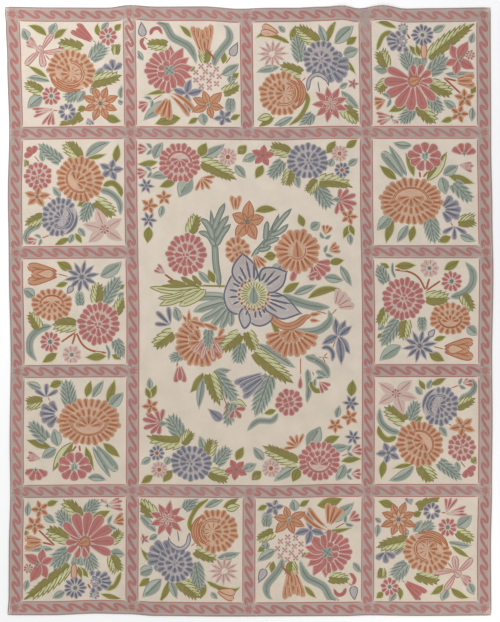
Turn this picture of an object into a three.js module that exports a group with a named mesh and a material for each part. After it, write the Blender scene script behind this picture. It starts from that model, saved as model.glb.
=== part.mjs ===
// A large flat floor rug, embroidered all over in wool chain stitch, lying on the floor.
// It is one cloth with its edges turned under, so it is one thin solid with a flat underside,
// an outline that wanders as a hand-stretched rug does, and low ripples along its far edge.
// Millimetres, +Z up, +Y towards the far edge, origin at the centre of the underside.
import * as THREE from "three";

// Driving sizes
const WIDTH = 2420; // across, edge to edge where the sides run straight
const LENGTH = 3050; // near edge to far edge
const THICKNESS = 5; // stitched face, canvas and backing cloth together
const EDGE_REACH = 260; // how far in from an edge its unevenness dies out

// How far the outline stands out (+) or draws in (-) from the straight edge, by place along it.
// Places run left to right on the far and near edges, and near to far on the two sides.
const FAR_EDGE = [
  { at: -1210, out: 4 },
  { at: -1000, out: 0 },
  { at: -700, out: -1 },
  { at: -595, out: 10 },
  { at: -450, out: 4 },
  { at: -220, out: 5 },
  { at: -40, out: -7 },
  { at: 110, out: -2 },
  { at: 230, out: -2 },
  { at: 390, out: 4 },
  { at: 475, out: 9 },
  { at: 555, out: -5 },
  { at: 675, out: 10 },
  { at: 795, out: -6 },
  { at: 920, out: -4 },
  { at: 1210, out: 0 },
];
const NEAR_EDGE = [
  { at: -1000, out: -3 },
  { at: -770, out: -11 },
  { at: -610, out: -8 },
  { at: -480, out: 1 },
  { at: -130, out: 4 },
  { at: 470, out: 2 },
  { at: 590, out: -2 },
  { at: 850, out: 1 },
  { at: 1210, out: -1 },
];
const LEFT_EDGE = [
  { at: -1525, out: 8 },
  { at: -1440, out: 2 },
  { at: -1210, out: 1 },
  { at: -900, out: -6 },
  { at: -660, out: -3 },
  { at: -240, out: -8 },
  { at: 240, out: 1 },
  { at: 600, out: 6 },
  { at: 900, out: -1 },
  { at: 1260, out: 9 },
  { at: 1440, out: 16 },
  { at: 1525, out: 23 },
];
const RIGHT_EDGE = [
  { at: -1525, out: -2 },
  { at: -1200, out: -4 },
  { at: -900, out: 1 },
  { at: -540, out: 4 },
  { at: -240, out: 2 },
  { at: 180, out: 8 },
  { at: 480, out: 3 },
  { at: 840, out: -3 },
  { at: 1525, out: -6 },
];

// Low ripples where the far edge doesn't lie down: place along it, rise, half width, reach
const RIPPLES = [
  { at: -595, rise: 9, half: 100, reach: 340 },
  { at: 475, rise: 8, half: 80, reach: 280 },
  { at: 680, rise: 10, half: 105, reach: 360 },
];

// Cells of the faceted cloth
const CELLS_ACROSS = 60;
const CELLS_ALONG = 22;
const CLOTH_COLOUR = 0xd9cbb8;

// The outward offset at a place along an edge, eased between the rows of its table
function outAt(edge, place) {
  const last = edge[edge.length - 1];
  const after = edge.findIndex((row) => row.at >= place);
  if (after < 0) return last.out;
  if (after === 0) return edge[0].out;
  const low = edge[after - 1];
  const high = edge[after];
  const share = THREE.MathUtils.smoothstep(place, low.at, high.at);
  return THREE.MathUtils.lerp(low.out, high.out, share);
}

// 1 at an edge, easing to 0 at EDGE_REACH in from it
function nearEdge(distance) {
  return 1 - THREE.MathUtils.smoothstep(distance, 0, EDGE_REACH);
}

// How far the cloth is lifted off the floor at a place
function liftAt(x, y) {
  const fromFarEdge = LENGTH / 2 - y;
  return RIPPLES.reduce((lift, ripple) => {
    const across = Math.min(Math.abs(x - ripple.at) / ripple.half, 1);
    const inward = Math.min(fromFarEdge / ripple.reach, 1);
    return lift + ripple.rise * Math.cos((across * Math.PI) / 2) ** 2 * (1 - inward) ** 2;
  }, 0);
}

// The cloth starts as a thin box of many cells, whose points are then moved to where they lie
function rugGeometry() {
  const box = new THREE.BoxGeometry(
    WIDTH, LENGTH, THICKNESS, CELLS_ACROSS, CELLS_ALONG, 1,
  );
  const places = box.getAttribute("position");
  const point = new THREE.Vector3();
  for (let i = 0; i < places.count; i += 1) {
    point.fromBufferAttribute(places, i);
    const { x, y, z } = point;
    point.x += nearEdge(WIDTH / 2 - x) * outAt(RIGHT_EDGE, y);
    point.x -= nearEdge(WIDTH / 2 + x) * outAt(LEFT_EDGE, y);
    point.y += nearEdge(LENGTH / 2 - y) * outAt(FAR_EDGE, x);
    point.y -= nearEdge(LENGTH / 2 + y) * outAt(NEAR_EDGE, x);
    point.z = z + THICKNESS / 2 + liftAt(x, y);
    places.setXYZ(i, point.x, point.y, point.z);
  }
  box.computeBoundingBox();
  const middle = box.boundingBox.getCenter(new THREE.Vector3());
  box.translate(-middle.x, -middle.y, 0);
  box.computeVertexNormals();
  return box;
}

const wool = new THREE.MeshStandardMaterial({
  color: CLOTH_COLOUR,
  roughness: 0.95,
  metalness: 0,
});

const rug = new THREE.Mesh(rugGeometry(), wool);
rug.name = "rug";

const part = new THREE.Group();
part.add(rug);

export default part;
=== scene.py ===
"""A wool chain stitch rug, worked row by row on a large flat cloth that lies on a pale floor.

Charts are in centimetres from the middle of their own panel or field, x across and y up the rug.
Tables of the cloth's outline, ripples and creases are in millimetres, and all else is in metres.
"""
import math
import random
from collections import namedtuple

import bpy
import numpy as np
from bpy.props import FloatProperty, FloatVectorProperty, PointerProperty
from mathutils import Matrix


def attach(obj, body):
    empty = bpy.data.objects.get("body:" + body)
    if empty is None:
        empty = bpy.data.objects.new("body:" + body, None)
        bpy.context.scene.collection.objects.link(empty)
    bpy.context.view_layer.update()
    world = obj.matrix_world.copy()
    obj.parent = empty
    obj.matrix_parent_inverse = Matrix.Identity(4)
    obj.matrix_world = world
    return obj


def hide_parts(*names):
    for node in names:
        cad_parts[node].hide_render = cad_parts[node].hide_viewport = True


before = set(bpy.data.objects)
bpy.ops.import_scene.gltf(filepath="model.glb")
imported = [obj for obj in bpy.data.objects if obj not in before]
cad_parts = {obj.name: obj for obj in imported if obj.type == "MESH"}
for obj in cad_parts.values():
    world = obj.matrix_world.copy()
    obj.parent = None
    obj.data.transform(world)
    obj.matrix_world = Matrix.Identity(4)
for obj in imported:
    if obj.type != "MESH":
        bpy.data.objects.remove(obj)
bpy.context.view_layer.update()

bl_info = {
    "name": "Chain stitch rug",
    "version": (1, 0, 0),
    "blender": (4, 5, 0),
    "location": "View3D > Sidebar > Rug",
    "description": "Builds a floral wool chain stitch rug and a plain studio around it",
    "category": "Object",
}

CM = 0.01
MM = 0.001
SEED = 11

# The cloth before its edges settled, and where its pattern's middle lies in the frame
CLOTH_WIDTH = 2420 * MM
CLOTH_LENGTH = 3050 * MM
EDGE_REACH = 260 * MM
MIDDLE = (7.4 * MM, -2.9 * MM)

# How far the outline stands out (+) or draws in (-), as (place along the edge, out)
FAR_EDGE = (
    (-1210, 4), (-1000, 0), (-700, -1), (-595, 10), (-450, 4), (-220, 5), (-40, -7), (110, -2),
    (230, -2), (390, 4), (475, 9), (555, -5), (675, 10), (795, -6), (920, -4), (1210, 0),
)
NEAR_EDGE = (
    (-1000, -3), (-770, -11), (-610, -8), (-480, 1), (-130, 4), (470, 2), (590, -2), (850, 1),
    (1210, -1),
)
LEFT_EDGE = (
    (-1525, 8), (-1440, 2), (-1210, 1), (-900, -6), (-660, -3), (-240, -8), (240, 1), (600, 6),
    (900, -1), (1260, 9), (1440, 16), (1525, 23),
)
RIGHT_EDGE = (
    (-1525, -2), (-1200, -4), (-900, 1), (-540, 4), (-240, 2), (180, 8), (480, 3), (840, -3),
    (1525, -6),
)

# How far the lattice has wandered inside the cloth, as (place, shift)
SWAY = ((-1348, 0), (-500, 4), (8, 5), (510, -5), (1080, -8), (1313, -12), (1500, -14))
HEAVE = ((-1200, -3), (-750, 2), (-450, 1), (-150, -2), (150, -5), (400, 3), (1200, 3))

# Low ripples where the far edge doesn't lie down: place along it, rise, half width, reach
Ripple = namedtuple("Ripple", "at rise half reach")
RIPPLES = (
    Ripple(-595, 9, 100, 340),
    Ripple(475, 8, 80, 280),
    Ripple(680, 10, 105, 360),
)

# Soft creases left from folding: two ends, half width and depth
Crease = namedtuple("Crease", "x0 y0 x1 y1 half depth")
CREASES = (
    Crease(-9, 900, -6, 520, 20, 1.3),
    Crease(-4, -640, -3, -860, 20, 0.9),
    Crease(-545, 640, -10, 626, 24, 1.2),
    Crease(-10, 626, 540, 602, 24, 1.0),
    Crease(-1120, -440, -330, -462, 24, 0.9),
    Crease(-330, -60, -330, -330, 20, 0.6),
    Crease(600, -150, 1140, -160, 24, 0.6),
)

# The lattice: middle lines of the bands across and up the rug, and half their width
COLUMNS = (-1175, -594, -8, 588, 1175)
LINES = (1489, 896, 297, -299, -900, -1490)
BAND_HALF = 32.5
OUTER_HALF = 35
TO_CM = 10  # millimetres in a centimetre


def eased(place, table):
    """A table's value at each place, eased between its rows."""
    places, values = np.array(table, float).T
    after = np.clip(np.searchsorted(places, place), 1, len(places) - 1)
    low, high = places[after - 1], places[after]
    share = np.clip((place - low) / (high - low), 0, 1)
    share = share * share * (3 - 2 * share)
    return values[after - 1] + share * (values[after] - values[after - 1])


def near(distance):
    """1 at an edge, easing to 0 at EDGE_REACH in from it."""
    share = np.clip(distance / EDGE_REACH, 0, 1)
    return 1 - share * share * (3 - 2 * share)


def settle(x, y):
    """Where places of the pattern lie on the real, slightly uneven cloth."""
    to_side = CLOTH_WIDTH / 2 - np.abs(x)
    to_end = CLOTH_LENGTH / 2 - np.abs(y)
    side = np.where(x > 0, eased(y / MM, RIGHT_EDGE), -eased(y / MM, LEFT_EDGE))
    end = np.where(y > 0, eased(x / MM, FAR_EDGE), -eased(x / MM, NEAR_EDGE))
    inner_x = np.interp(y / MM, *np.array(SWAY).T) * (1 - near(to_side))
    inner_y = np.interp(x / MM, *np.array(HEAVE).T) * (1 - near(to_end))
    return (
        x + MIDDLE[0] + MM * (near(to_side) * side + inner_x),
        y + MIDDLE[1] + MM * (near(to_end) * end + inner_y),
    )


def lift(x, y):
    """How far the cloth stands off the floor."""
    height = np.zeros_like(x)
    for ripple in RIPPLES:
        across = np.clip(np.abs(x - ripple.at * MM) / (ripple.half * MM), 0, 1)
        inward = np.clip((CLOTH_LENGTH / 2 - y) / (ripple.reach * MM), 0, 1)
        height = height + ripple.rise * MM * np.cos(across * np.pi / 2) ** 2 * (1 - inward) ** 2
    return height


def hollow(x, y):
    """How deep the creases are, which wander a little off their straight line."""
    depth = np.zeros_like(x)
    wander = 5 * MM * np.sin(x * 31 + y * 17)
    for crease in CREASES:
        start = complex(crease.x0, crease.y0) * MM
        run = complex(crease.x1, crease.y1) * MM - start
        place = (x + 1j * y - start) / run
        off = place.imag * abs(run) + wander
        ends = np.clip(np.minimum(place.real, 1 - place.real) * 6 + 0.4, 0, 1)
        uneven = 0.7 + 0.3 * np.sin(place.real * 19)
        depth = depth + ends * uneven * crease.depth * MM * np.exp(-(off / (crease.half * MM)) ** 2)
    return depth


# The wools: what each is for, and its colour
WOOLS = (
    ("cream", "Ground", (0.862, 0.810, 0.747)),
    ("mauve", "Ground of the bands", (0.692, 0.624, 0.592)),
    ("madder", "Scrolls, rosettes and rows beside the bands", (0.682, 0.450, 0.426)),
    # The outermost row's wool is dusty mauve, darkened and greyed by painted shade along the rug's edge.
    ("edge_mauve_and_shade", "Outermost row", (0.60, 0.50, 0.49)),
    ("olive", "Dark leaves", (0.540, 0.505, 0.295)),
    ("moss", "Outlines of pale leaves", (0.500, 0.470, 0.230)),
    ("lime", "Pale leaves", (0.775, 0.768, 0.605)),
    ("teal", "Feather leaves", (0.560, 0.584, 0.538)),
    ("spruce", "Veins of feather leaves", (0.415, 0.456, 0.428)),
    ("mist", "Paler side of feather leaves", (0.655, 0.672, 0.622)),
    ("rust", "Strokes of orange flowers", (0.645, 0.380, 0.255)),
    ("amber", "Bodies of orange flowers", (0.735, 0.555, 0.435)),
    ("peach", "Rims of orange flowers", (0.800, 0.660, 0.560)),
    ("garnet", "Strokes of pink flowers", (0.665, 0.365, 0.350)),
    ("rose", "Bodies of pink flowers", (0.700, 0.452, 0.428)),
    ("blush", "Rims of pink flowers", (0.785, 0.690, 0.648)),
    ("slate", "Strokes of blue flowers", (0.396, 0.408, 0.458)),
    ("bluebell", "Bodies of blue flowers", (0.545, 0.536, 0.562)),
    ("lilac", "Rims of blue flowers", (0.710, 0.670, 0.660)),
)

# How a blade is shaded: its outer row, its body, the rows along its middle and their number
Shade = namedtuple("Shade", "edge body stroke thick", defaults=(1,))
SHADES = {
    "olive": Shade("olive", "olive", "olive"),
    "green": Shade("lime", "olive", "moss"),
    "lime": Shade("moss", "lime", "moss"),
    "teal": Shade("mist", "teal", "spruce"),
    "mist": Shade("teal", "mist", "spruce"),
    "fern": Shade("spruce", "teal", "mist"),
    "rust": Shade("peach", "amber", "rust", 2),
    "ember": Shade("rust", "rust", "rust"),
    "flame": Shade("rust", "amber", "rust"),
    "glow": Shade("rust", "peach", "peach"),
    "rose": Shade("blush", "rose", "garnet"),
    "berry": Shade("rose", "rose", "garnet"),
    "pink": Shade("rose", "blush", "rose"),
    "faint": Shade("blush", "blush", "rose"),
    "blue": Shade("lilac", "bluebell", "slate", 2),
    "navy": Shade("slate", "lilac", "lilac"),
    "ink": Shade("slate", "slate", "slate"),
    "cream": Shade("cream", "cream", "cream"),
}

# Half widths of blades, by the share of their length
SHAPES = {
    "leaf": lambda s: np.sin(np.pi * s ** 0.85),
    "petal": lambda s: 1.12 * s ** 0.6 * np.sqrt(np.clip(1 - s ** 5, 0, 1)),
    "finger": lambda s: np.clip(1 - np.abs(2 * s - 1) ** 5, 0, 1) ** 0.5,
    "drop": lambda s: 1.05 * np.clip(np.sin(np.pi * s ** 0.55), 0, 1),
    "strap": lambda s: np.clip(np.minimum(s * 7, (1 - s) * 4), 0, 1) ** 0.6,
    "dart": lambda s: np.sin(np.pi * (0.14 + 0.86 * s)),
    "tooth": lambda s: 1 - np.clip((s - 0.3) / 0.7, 0, 1) ** 1.7,
}

# Sizes of the stitching, in centimetres
ROW = 0.46  # width of one row of chain stitch
STEP = 1.05  # longest straight piece of a curved row
SCROLL_STEP = 0.72  # and of a scroll's row
STRAIGHT = 2.4  # and of a long plain row
PAD_STEP = 1.3  # and of a bed of plain stitches
PAD_SHARE = 0.84  # half width of a bed, as a share of what lies on it
PETAL = 2.55  # usual width of a petal in a wreath
STROKE_GAP = 0.43  # between the strokes along a petal's middle
STROKE_FROM = 0.05  # where they start and end, as shares of its length
STROKE_TO = 0.86
CELL = 0.1  # fineness of the map that shows where rows lie already
SAMPLE = 0.22  # fineness of the cut of a row by the rows over it
FEWEST = 4  # samples in the shortest cut row that is kept
MARGIN = 0.7  # between a panel's rows and its rim
FIELD = (62, 92)  # half width and half length that the field's rows may reach

# How motifs and their rows lie over each other
TIER = 0.1  # one tier of petals over the last
LAP = 0.04  # one lobe or petal over its neighbour
RANKS = 10  # ranks of rows in one level

Row = namedtuple("Row", "path wool rank step")
Motif = namedtuple("Motif", "x y length width turn bend", defaults=(0,))
Part = namedtuple("Part", "rows beds x y half_turn")


def bow(motif):
    """The middle line of a motif, which turns evenly by its bend from end to end."""
    count = max(6, int(motif.length / 0.8) + 2)
    share = np.linspace(-0.5, 0.5, count)
    heading = np.exp(1j * np.radians(motif.turn + motif.bend * share))
    steps = (heading[1:] + heading[:-1]) / 2 * motif.length / (count - 1)
    return complex(motif.x, motif.y) + np.concatenate([[0], np.cumsum(steps)])


def smooth(points, closed=False):
    """A smooth curve through a few charted points, given as one flat list of x and y."""
    knots = np.array(points[0::2]) + 1j * np.array(points[1::2])
    before, after = (knots[-1:], knots[:2]) if closed else (
        2 * knots[:1] - knots[1:2], 2 * knots[-1:] - knots[-2:-1])
    knots = np.concatenate([before, knots, after])
    out = []
    for a, b, c, d in zip(knots[:-3], knots[1:-2], knots[2:-1], knots[3:]):
        t = np.linspace(0, 1, max(3, int(abs(c - b) / 0.7) + 1), endpoint=False)
        out.append(b + t * (c - a) / 2 + t ** 2 * (a - 2.5 * b + 2 * c - d / 2)
                   + t ** 3 * (1.5 * (b - c) + (d - a) / 2))
    return np.concatenate(out + [knots[-2:-1]])


def ways(path):
    """The direction at each point of a path."""
    run = np.gradient(path)
    return run / np.maximum(np.abs(run), 1e-9)


def polar(degrees):
    """A step of length 1 in a direction."""
    return complex(math.cos(math.radians(degrees)), math.sin(math.radians(degrees)))


class Needle:
    """Gathers rows. Of two rows in one place, the one with the higher rank is kept."""

    def __init__(self):
        self.rows = []
        self.beds = []
        self.level = 0.0

    def pad(self, path, half, wool):
        """Plain stitches under the rows, so that no ground shows between them."""
        length = np.concatenate([[0], np.cumsum(np.abs(np.diff(path)))])
        places = np.linspace(0.03, 0.95, max(4, int(length[-1] / PAD_STEP) + 2)) * length[-1]
        middle = np.interp(places, length, path.real) + 1j * np.interp(places, length, path.imag)
        self.beds.append((middle, np.clip(np.interp(places, length, half) * PAD_SHARE, 0.05, None),
                          wool, round(self.level, 1)))

    def stitch(self, path, wool, rank=0.0, step=STEP):
        """One row along a path."""
        path = np.asarray(path, complex)
        if len(path) > 1 and np.abs(np.diff(path)).sum() > 0.4:
            self.rows.append(Row(path, wool, self.level + rank / RANKS, step))

    def blade(self, path, width, shape, left, right=None, stroke=True, taper=1.0):
        """A leaf or petal of rows that follow its two edges, with strokes along its middle."""
        length = np.concatenate([[0], np.cumsum(np.abs(np.diff(path)))])
        share = length / length[-1]
        across = 1j * ways(path)
        half = width / 2 * SHAPES[shape](share) * (taper + (1 - taper) * share)
        sides = ((1, SHADES[left]), (-1, SHADES[right or left]))
        if right in (None, left):
            self.pad(path, half, sides[0][1].body)
        else:
            for side, shade in sides:
                self.pad(path + side * across * half / 2, half / 2, shade.body)
        if stroke and width > 1.5:
            kept = (share > STROKE_FROM) & (share < STROKE_TO)
            thick = sides[0][1].thick if width > 2 else 1
            for off in (np.arange(thick) - (thick - 1) / 2) * STROKE_GAP:
                self.stitch((path + off * across)[kept], sides[0][1].stroke, 0.2)
        self.stitch(path[share < 0.94], sides[0][1].body, 0.15)
        for ring in range(math.ceil(width / 2 / ROW - 0.3)):
            inside = half - (ring + 0.5) * ROW
            kept = np.flatnonzero(inside > 0)
            if len(kept) < 2:
                continue
            run = slice(max(kept[0] - 1, 0), kept[-1] + 2)
            for side, shade in sides:
                row = path + side * across * np.clip(inside, 0, None)
                self.stitch(row[run], shade.edge if ring == 0 else shade.body,
                            0.3 if ring == 0 else 0.1)
        tip = np.array([path[-2], path[-1]])
        self.stitch(tip, sides[0][1].edge, 0.05)

    def rounds(self, middle, radius, wools, rank=0.0):
        """Closed rounds of stitches from the outside in."""
        for i in range(max(1, round(radius / ROW))):
            reach = max(radius - (i + 0.5) * ROW, 0.12)
            angles = np.linspace(0, 2 * np.pi, max(7, int(reach * 7)))
            self.stitch(middle + reach * np.exp(1j * angles), wools[min(i, len(wools) - 1)],
                        rank, max(0.3, min(0.8, reach * 0.6)))

    def bed(self, middle, along, side, wool):
        """Plain rounds that fill an oval, to lie under petals."""
        reach = min(abs(along), abs(side))
        angles = np.linspace(0, 2 * np.pi, max(16, int(reach * 7)))
        share = np.cos(np.linspace(np.pi, 0, 21))
        self.level -= TIER
        self.pad(middle + share * along, abs(side) * np.sqrt(1 - share ** 2), wool)
        self.level += TIER
        for i in range(int(reach / ROW)):
            inset = (i + 0.5) * ROW
            self.stitch(middle + np.cos(angles) * along * (1 - inset / abs(along))
                        + np.sin(angles) * side * (1 - inset / abs(side)), wool, -0.5)

    def wreath(self, middle, along, side, inner, outer, start, sweep, wool,
               count=0, shape="finger", fill=1.0):
        """Petals side by side round an oval, which is given by its two half axes."""
        def place(radius, degrees):
            turn = polar(degrees)
            return middle + radius * (turn.real * along + turn.imag * side)

        mid = (inner + outer) / 2
        spots = [place(mid, start + sweep * i / 24) for i in range(25)]
        around = sum(abs(b - a) for a, b in zip(spots, spots[1:]))
        count = count or max(3, round(around / PETAL))
        for i in range(count):
            degrees = start + sweep * (i + 0.5) / count
            root = place(inner, degrees)
            run = place(outer * (1 + 0.045 * math.sin(2.4 * i + 0.1 * start)), degrees) - root
            petal = Motif(root.real, root.imag, abs(run), 0, math.degrees(np.angle(run)))
            width, taper = fill * around / count, 1
            if shape == "finger":
                width, taper = width * outer / mid + ROW, max(0.3, inner / outer)
            self.blade(bow(petal), width, shape, wool, taper=taper)

    def patch(self, points, edge, body):
        """A lobe of any outline, filled by rows that follow it inwards."""
        rim = smooth(points, closed=True)
        heart = rim.mean()
        reach = np.abs(rim - heart).mean()
        for i in range(int(reach / ROW) + 1):
            scale = max(1 - (i + 0.5) * ROW / reach, 0.04)
            self.stitch(heart + (rim - heart) * scale, edge if i < 2 else body,
                        0.3 if i < 2 else 0.0)


def oval(motif):
    """A flower's middle and its two half axes."""
    heading = polar(motif.turn)
    return complex(motif.x, motif.y), heading * motif.length / 2, 1j * heading * motif.width / 2


# Kinds of motif. Leaves, petals and stems start at x, y. Round flowers have it at their middle.


def sew_leaf(needle, left, right, motif):
    """A plain pointed leaf."""
    needle.blade(bow(motif), motif.width * 1.2, "leaf", left, right)


def sew_petal(needle, left, right, motif):
    """A long petal, widest near its tip."""
    needle.blade(bow(motif), motif.width * 1.12, "petal", left, right)


def sew_saw(needle, left, right, motif):
    """A leaf whose sides are pointed lobes that lap each other and shrink towards its tip."""
    path = bow(motif)
    share = np.linspace(0, 1, len(path))
    headings = ways(path)
    lobes = max(4, round(0.92 * motif.length ** 0.6))
    reach = max(0.95 * motif.width, 0.34 * motif.length)
    spread = 0.48 * motif.width / reach
    slant = math.degrees(math.asin(spread))
    wide = 1.05 * motif.length / (lobes - 1) * spread + ROW
    quarter = 0.25 * motif.width * SHAPES["leaf"](share)
    for side, wool in ((1, left), (-1, right)):
        needle.pad(path + side * 1j * headings * quarter, quarter * 1.1, SHADES[wool].body)
    needle.level += TIER
    needle.blade(path, motif.width * 0.6, "leaf", left, right, stroke=False)
    for i in range(lobes):
        s = 0.02 + 0.7 * i / (lobes - 1)
        spot = complex(np.interp(s, share, path.real), np.interp(s, share, path.imag))
        heading = headings[int(s * (len(path) - 1))]
        size = math.sin(math.pi * (0.3 + 0.6 * s)) * (1 - 0.4 * s)
        needle.level += LAP
        for side, wool in ((1, left), (-1, right)):
            root = spot + side * 1j * heading * wide * 0.44 * (1 - 0.5 * s)
            turn = math.degrees(np.angle(heading)) + side * slant
            lobe = Motif(root.real, root.imag, reach * size, 0, turn, side * 6)
            needle.blade(bow(lobe), wide * (1 - 0.4 * s), "tooth", wool,
                         stroke=wool not in ("lime", "olive"))
    needle.level += LAP
    root = path[int(len(path) * 0.66)]
    tip = Motif(root.real, root.imag, motif.length * 0.34, 0, math.degrees(np.angle(headings[-1])))
    needle.blade(bow(tip), max(1.6, motif.width * 0.26), "dart", left, right)
    rib = "lime" if "lime" in (left, right) else right
    needle.stitch(path[share < 0.88], SHADES[rib].stroke, 0.9)


def sew_mum(needle, wool, _, motif):
    """A full round bloom of rings of stroked petals."""
    middle, along, side = oval(motif)
    size = min(abs(along), abs(side))
    edges = (1.0, 0.56, 0.16, 0.02) if size > 7 else (1.0, 0.44, 0.04)
    needle.bed(middle, 0.9 * along, 0.9 * side, SHADES[wool].edge)
    for i, (outer, inner) in enumerate(zip(edges, edges[1:])):
        needle.wreath(middle - 0.04 * i * along, along, side, inner, outer, 17 * i, 360, wool)
        needle.level += TIER


def sew_burst(needle, wool, _, motif):
    """A round bloom of long petals, whose number is its bend, round a drop."""
    middle, along, side = oval(motif)
    needle.bed(middle, 0.9 * along, 0.9 * side, SHADES[wool].edge)
    needle.wreath(middle, along, side, 0.36, 1.0, 6, 360, wool, motif.bend)
    needle.level += TIER
    foot = middle - 0.4 * along
    drop = Motif(foot.real, foot.imag, 0.95 * abs(along), 0, motif.turn)
    needle.blade(bow(drop), 0.5 * abs(side), "drop", wool)
    needle.level += TIER
    turns = np.radians(np.linspace(120, 285, 11))
    for reach, tone in ((0.4, "peach"), (0.36, "rust"), (0.31, "peach")):
        needle.stitch(middle + reach * (np.cos(turns) * along + np.sin(turns) * side), tone, 0.5)


def sew_crown(needle, wool, _, motif):
    """A bloom from the side: two tiers of petals over a cup, whose rim lies at its bend."""
    middle, along, side = oval(motif)
    shade = SHADES[wool]
    needle.bed(middle, 0.9 * along, 0.9 * side, shade.edge)
    needle.wreath(middle, along, side, 0.62, 1.0, -128, 256, wool)
    needle.level += TIER
    needle.wreath(middle, along, side, 0.34, 0.64, -100, 200, wool)
    needle.level += TIER
    for radius, first, last in ((0.9, 118, 228), (0.7, 128, 236), (0.5, 138, 240)):
        turns = np.radians(np.linspace(first, last, 17))
        sweep = middle + radius * (np.cos(turns) * along + np.sin(turns) * side)
        needle.blade(sweep, 0.26 * abs(along), "leaf", {"rust": "flame"}.get(wool, wool))
    cup = middle - 0.1 * along
    rim = motif.bend or 180
    turns = np.radians(np.linspace(rim - 95, rim + 95, 15))
    for radius, tone in ((0.56, shade.stroke), (0.52, shade.edge), (0.48, shade.stroke)):
        arc = cup + radius * (np.cos(turns) * along + np.sin(turns) * side)
        needle.stitch(arc, tone, 0.6)
    needle.level += TIER
    needle.wreath(cup, along, side, 0.04, 0.44, rim + 100, 160, wool, count=4)
    needle.wreath(cup, along, side, 0.04, 0.42, rim - 95, 190, wool, count=5, shape="petal")


def sew_bowl(needle, wool, _, motif):
    """A round bloom with a cup in it, whose rim lies at its bend."""
    middle, along, side = oval(motif)
    shade = SHADES[wool]
    needle.bed(middle, 0.9 * along, 0.9 * side, shade.edge)
    needle.wreath(middle, along, side, 0.58, 1.0, 0, 360, wool)
    needle.level += TIER
    lean = polar(motif.bend)
    cup = middle + 0.2 * (lean.real * along + lean.imag * side)
    needle.wreath(cup, along, side, 0.42, 0.76, motif.bend + 105, 150, wool)
    needle.level += TIER
    needle.wreath(cup, along, side, 0.06, 0.46, motif.bend + 85, 190, wool, 5)
    needle.level += TIER
    turns = np.radians(np.linspace(motif.bend - 85, motif.bend + 85, 19))
    for radius, tone in ((0.58, shade.stroke), (0.53, shade.stroke), (0.46, shade.edge)):
        needle.stitch(middle + radius * (np.cos(turns) * along + np.sin(turns) * side), tone, 0.6)


def sew_daisy(needle, wool, heart, motif):
    """A small round flower. Its bend is its number of petals."""
    middle, along, side = oval(motif)
    needle.wreath(middle, along, side, 0.24, 1.0, 0, 360, wool, motif.bend or 9, "petal", 1.66)
    needle.level += TIER
    shade = SHADES[heart]
    needle.rounds(middle, 0.26 * abs(along), (shade.edge, shade.stroke))


def sew_star(needle, wool, _, motif):
    """A small open flower of pointed petals. Its bend is its number of petals."""
    middle, along, side = oval(motif)
    needle.wreath(middle, along, side, 0.06, 1.0, -36, 360, wool, motif.bend or 5, "dart", 0.95)
    needle.level += TIER
    needle.rounds(middle, max(0.5, 0.12 * abs(along)), ("spruce",))


def sew_lily(needle, wool, _, motif):
    """A large star flower with small petals over the large ones."""
    middle, along, side = oval(motif)
    count = motif.bend or 8
    needle.wreath(middle, along, side, 0.08, 1.0, 0, 360, wool, count, "dart", 1.1)
    needle.level += TIER
    small = {"flame": "glow"}.get(wool, wool)
    needle.wreath(middle, along, side, 0.08, 0.54, 180 / count, 360, small, count, "dart", 1.0)
    needle.level += TIER
    needle.rounds(middle, max(0.8, 0.13 * abs(along)), ("spruce",))


def sew_bud(needle, left, right, motif):
    """A closed plump bud."""
    needle.blade(bow(motif), motif.width, "drop", left, right)


def sew_tulip(needle, wool, _, motif):
    """A cup of petals on one foot, the outer ones under. Its bend is their number."""
    heading = polar(motif.turn)
    count = motif.bend or 5
    shares = sorted(((i + 0.5) / count * 2 - 1 for i in range(count)), key=abs, reverse=True)
    for share in shares:
        root = complex(motif.x, motif.y) + 0.2 * motif.width * share * 1j * heading
        petal = Motif(root.real, root.imag, motif.length * (0.84 + 0.2 * abs(share)), 0,
                      motif.turn + 15 * share, 16 * share)
        needle.blade(bow(petal), motif.width / count * 1.7, "petal", wool)
        needle.level += LAP


def sew_spray(needle, wool, _, motif):
    """Loose strokes that fan out of one point. Its bend is their number."""
    foot = complex(motif.x, motif.y)
    count = motif.bend or 4
    fan = math.degrees(math.atan2(motif.width / 2, motif.length))
    for i in range(count):
        share = (i + 0.5) / count * 2 - 1
        turn = motif.turn + fan * share
        root = foot + 0.04 * motif.length * polar(turn)
        stroke = Motif(root.real, root.imag, motif.length * (0.96 - 0.12 * (i % 2)), 0, turn,
                       12 * share)
        needle.blade(bow(stroke), 2.6, "petal", wool)


def sew_trefoil(needle, wool, _, motif):
    """Three plump lobes."""
    for fan in (-58, 0, 58):
        lobe = motif._replace(turn=motif.turn + fan, bend=0)
        needle.blade(bow(lobe), motif.width * 1.15, "petal", wool)
    needle.rounds(complex(motif.x, motif.y) + 0.2 * motif.length * polar(motif.turn),
                  0.4 * motif.width, (SHADES[wool].body,), 0.1)


def sew_capped(needle, wool, _, motif):
    """A tiny flower of three strokes in a leafy cap."""
    foot = complex(motif.x, motif.y)
    for fan in (-26, 0, 26):
        root = foot + 0.3 * motif.length * polar(motif.turn)
        stroke = Motif(root.real, root.imag, motif.length * 0.8, 0, motif.turn + fan, 0)
        needle.blade(bow(stroke), 2.9, "petal", wool)
    for fan in (-46, 46):
        cap = Motif(foot.real, foot.imag, motif.length * 0.62, 0, motif.turn + fan, -fan)
        needle.blade(bow(cap), 2.2, "leaf", "teal")


def sew_cluster(needle, wool, _, motif):
    """A round head of small four-petalled flowers."""
    middle, along, side = oval(motif)
    spots = [(0.36, 20 + i * 90) for i in range(4)] + [(0.84, i * 40) for i in range(9)]
    for radius, degrees in spots:
        turn = polar(degrees)
        heart = middle + radius * (turn.real * along + turn.imag * side)
        for k in range(4):
            arm = Motif(heart.real, heart.imag, 1.8, 0, 45 + 90 * k + motif.turn)
            needle.blade(bow(arm), 1.8, "petal", wool)


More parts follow.
